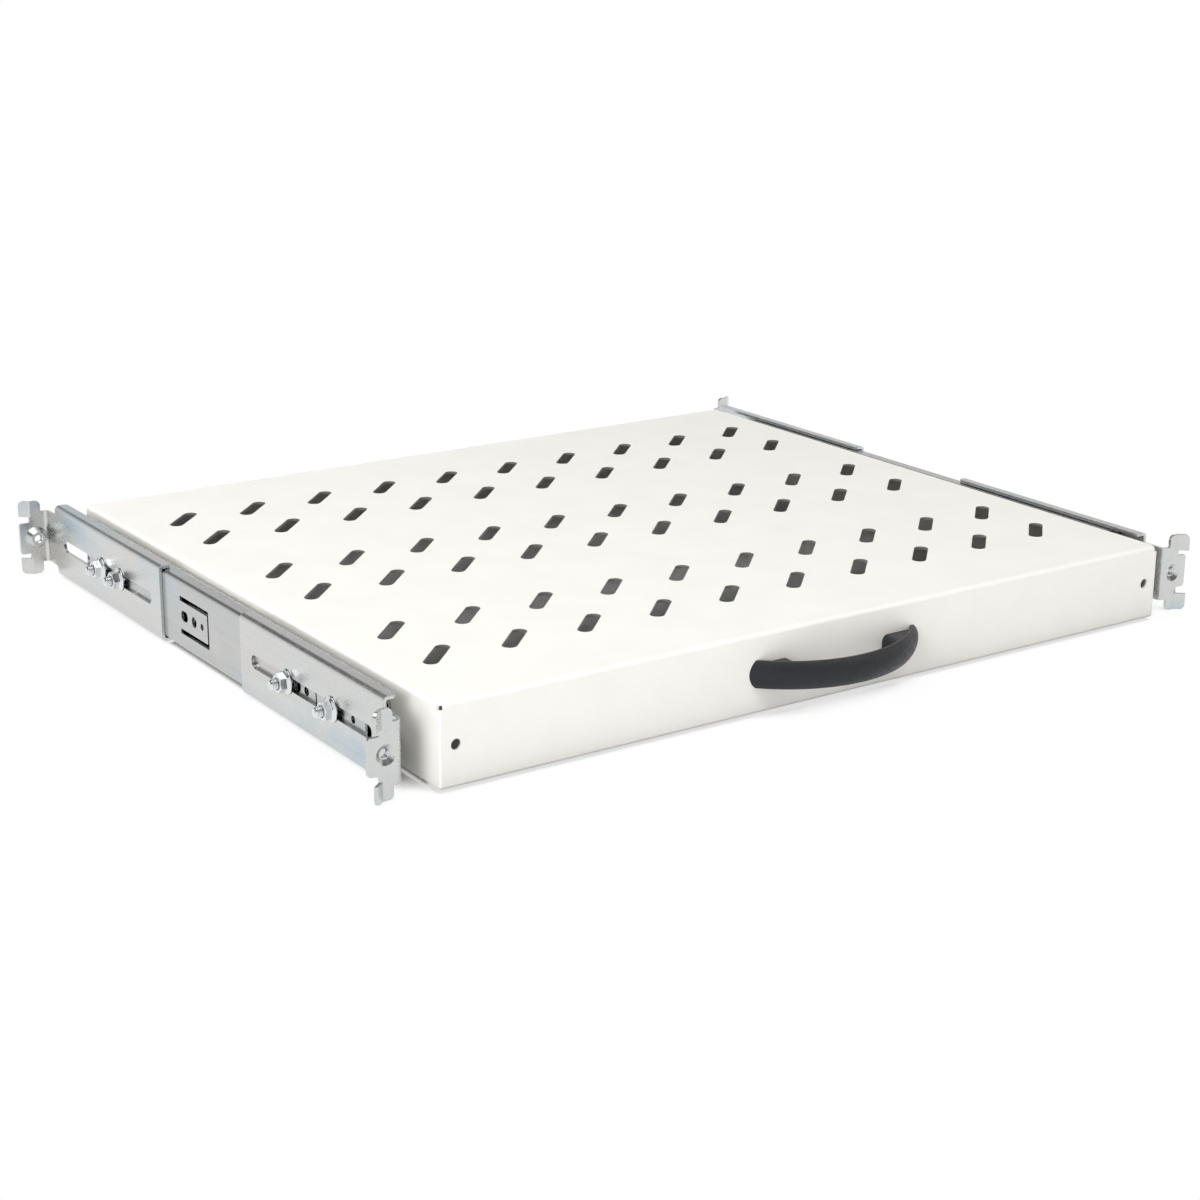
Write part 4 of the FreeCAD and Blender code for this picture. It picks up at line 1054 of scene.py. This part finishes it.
def floor_material(stage):
    """White floor with the shelf's shadow, lit and also painted as a darker colour where the shelf covers it,
    calmer for bounced and mirrored light, clear from below.
    """
    material = bpy.data.materials.new("studio_floor")
    material.use_nodes = True
    tree = material.node_tree
    tree.nodes.clear()
    colour = opaque(stage.floor)
    place = add_node(tree, "ShaderNodeNewGeometry").outputs
    low, high = [Vector(corner) for corner in CAD_BOX]
    reach = (high - low) / 2.0 - Vector((SHADOW_MARGIN, SHADOW_MARGIN, 0.0))
    aside = distance_from_middle(tree, place["Position"], low, high)
    aside = calculate_vector(tree, "MAXIMUM", calculate_vector(tree, "SUBTRACT", aside, reach))
    beyond = remap(tree, calculate_vector(tree, "LENGTH", aside), 0.0, SHADOW_MARGIN)
    clear = floor_clearness(tree, place["Position"])
    # Painted shade: the floor is coloured darker where the shelf covers it
    painted_floor_shade = blend_colours(tree, remap(tree, clear, 0.0, 0.3), opaque(stage.floor_shade), colour)
    lit = add_node(tree, "ShaderNodeBsdfDiffuse", {"Color": painted_floor_shade}).outputs[0]
    white = add_node(tree, "ShaderNodeEmission", {"Color": colour, "Strength": 1.0}).outputs[0]
    seen = mix_shaders(tree, clear, lit, white)
    pale = blend_colours(tree, beyond, scaled(stage.floor, 0.05), scaled(stage.floor, 0.84))
    bounced = add_node(tree, "ShaderNodeBsdfDiffuse", {"Color": pale}).outputs[0]
    sheen = blend_colours(tree, beyond, scaled(stage.floor, 0.84), colour)
    mirrored = add_node(tree, "ShaderNodeEmission", {"Color": sheen, "Strength": 1.0}).outputs[0]
    nothing = add_node(tree, "ShaderNodeBsdfTransparent").outputs[0]
    ray = add_node(tree, "ShaderNodeLightPath").outputs
    surface = mix_shaders(tree, ray["Is Diffuse Ray"], seen, bounced)
    surface = mix_shaders(tree, ray["Is Glossy Ray"], surface, mirrored)
    surface = mix_shaders(tree, place["Backfacing"], surface, nothing)
    add_node(tree, "ShaderNodeOutputMaterial", {"Surface": surface})
    return material


def make_floor(stage):
    """Pale floor that keeps the shelf's shadow, partly as painted shade, runs out to white and can be looked
    through from below.
    """
    data = floor_mesh()
    data.materials.append(floor_material(stage))
    floor = bpy.data.objects.new("studio_floor", data)
    bpy.context.scene.collection.objects.link(floor)


def make_light(scene, stage):
    """Three softboxes, and a dome that is pale at the horizon, dim above it and pale again overhead."""
    # Name, power, width, place and target of each softbox
    lamps = (("softbox", stage.softbox_power, 1.3, (-2.1, -0.7, 0.9), (-0.05, 0.12, 0.0)),
             ("overhead", stage.overhead_power, 0.9, (-0.5, 0.25, 0.95), (0.0, 0.2, 0.0)),
             ("fill", stage.fill_power, 0.8, (0.25, -0.95, 1.3), (0.0, 0.0, 0.0)))
    for name, power, size, place, target in lamps:
        light = bpy.data.lights.new(name, "AREA")
        light.energy = power
        light.size = size
        lamp = bpy.data.objects.new(name, light)
        lamp.location = place
        aim = Vector(target) - Vector(place)
        lamp.rotation_euler = aim.to_track_quat("-Z", "Y").to_euler()
        # Only the overhead softbox may show as a highlight: the others would wash out the tray's edges
        lamp.visible_glossy = name == "overhead"
        scene.collection.objects.link(lamp)

    world = bpy.data.worlds.new("studio_dome")
    scene.world = world
    world.use_nodes = True
    tree = world.node_tree
    tree.nodes.clear()
    where = add_node(tree, "ShaderNodeTexCoord").outputs["Generated"]
    ramp = add_node(tree, "ShaderNodeValToRGB", {"Fac": split(tree, where)["Z"]})
    # Height above the horizon and the grey of the dome there
    stops = ((0.0, 0.95), (0.12, 0.90), (0.22, 0.86), (0.34, 0.84), (0.43, 0.19), (0.56, 0.11), (0.70, 0.14),
             (0.88, 0.78), (1.0, 0.90))
    ramp.color_ramp.interpolation = "EASE"
    while len(ramp.color_ramp.elements) < len(stops):
        ramp.color_ramp.elements.new(0.5)
    for element, (at, grey) in zip(ramp.color_ramp.elements, stops):
        element.position = at
        element.color = (grey, grey, grey, 1.0)
    dome = add_node(tree, "ShaderNodeBackground",
                    {"Color": ramp.outputs["Color"], "Strength": stage.dome_strength}).outputs[0]
    white = add_node(tree, "ShaderNodeBackground",
                     {"Color": (1.0, 1.0, 1.0, 1.0), "Strength": 1.0}).outputs[0]
    ray = add_node(tree, "ShaderNodeLightPath").outputs
    sky = mix_shaders(tree, ray["Is Camera Ray"], dome, white)
    add_node(tree, "ShaderNodeOutputWorld", {"Surface": sky})


def make_camera(scene, stage):
    """Camera at the front left, looking down along the tray."""
    flat = Vector((math.sin(CAMERA_AZIMUTH), math.cos(CAMERA_AZIMUTH), 0.0))
    ahead = flat * math.cos(CAMERA_DROP) - Vector((0.0, 0.0, math.sin(CAMERA_DROP)))
    level = Vector((flat.y, -flat.x, 0.0))
    upright = level.cross(ahead)
    right = level * math.cos(CAMERA_ROLL) + upright * math.sin(CAMERA_ROLL)
    up = right.cross(ahead)
    turn = Matrix((right, up, -ahead)).transposed().to_4x4()
    data = bpy.data.cameras.new("front_left_camera")
    data.lens = stage.lens
    data.sensor_width = 36.0
    data.clip_start = 0.01
    data.clip_end = 50.0
    camera = bpy.data.objects.new("front_left_camera", data)
    camera.matrix_world = Matrix.Translation(CAMERA_PLACE) @ turn
    scene.collection.objects.link(camera)
    scene.camera = camera


class RACKSHELF_PT_panel(bpy.types.Panel):
    """Settings and steps of the sliding rack shelf"""
    bl_idname = "RACKSHELF_PT_panel"
    bl_label = "Sliding Rack Shelf"
    bl_space_type = "VIEW_3D"
    bl_region_type = "UI"
    bl_category = "Rack Shelf"

    def draw(self, context):
        settings = context.scene.rack_shelf
        for group in (settings.finish, settings.hardware, settings.stage):
            box = self.layout.box()
            for name in group.bl_rna.properties.keys():
                if name not in ("rna_type", "name"):
                    box.prop(group, name)
        steps = self.layout.column(align=True)
        for operator in STEPS:
            steps.operator(operator.bl_idname)


GROUPS = (RackShelfFinish, RackShelfHardware, RackShelfStage, RackShelfSettings)
STEPS = (RACKSHELF_OT_make_finishes, RACKSHELF_OT_finish_tray, RACKSHELF_OT_finish_handle,
         RACKSHELF_OT_finish_slides, RACKSHELF_OT_make_nuts, RACKSHELF_OT_make_studs,
         RACKSHELF_OT_make_screws, RACKSHELF_OT_make_ear_threads, RACKSHELF_OT_make_ball_rows,
         RACKSHELF_OT_make_buffers, RACKSHELF_OT_set_stage)
CLASSES = GROUPS + STEPS + (RACKSHELF_PT_panel,)


def register():
    for item in CLASSES:
        bpy.utils.register_class(item)
    bpy.types.Scene.rack_shelf = PointerProperty(type=RackShelfSettings)


def unregister():
    del bpy.types.Scene.rack_shelf
    for item in reversed(CLASSES):
        bpy.utils.unregister_class(item)


def main():
    register()
    bpy.ops.rackshelf.make_finishes()
    bpy.ops.rackshelf.finish_tray()
    bpy.ops.rackshelf.finish_handle()
    bpy.ops.rackshelf.finish_slides()
    bpy.ops.rackshelf.make_nuts()
    bpy.ops.rackshelf.make_studs()
    bpy.ops.rackshelf.make_screws()
    bpy.ops.rackshelf.make_ear_threads()
    bpy.ops.rackshelf.make_ball_rows()
    bpy.ops.rackshelf.make_buffers()
    bpy.ops.rackshelf.set_stage()


if __name__ == "__main__":
    main()
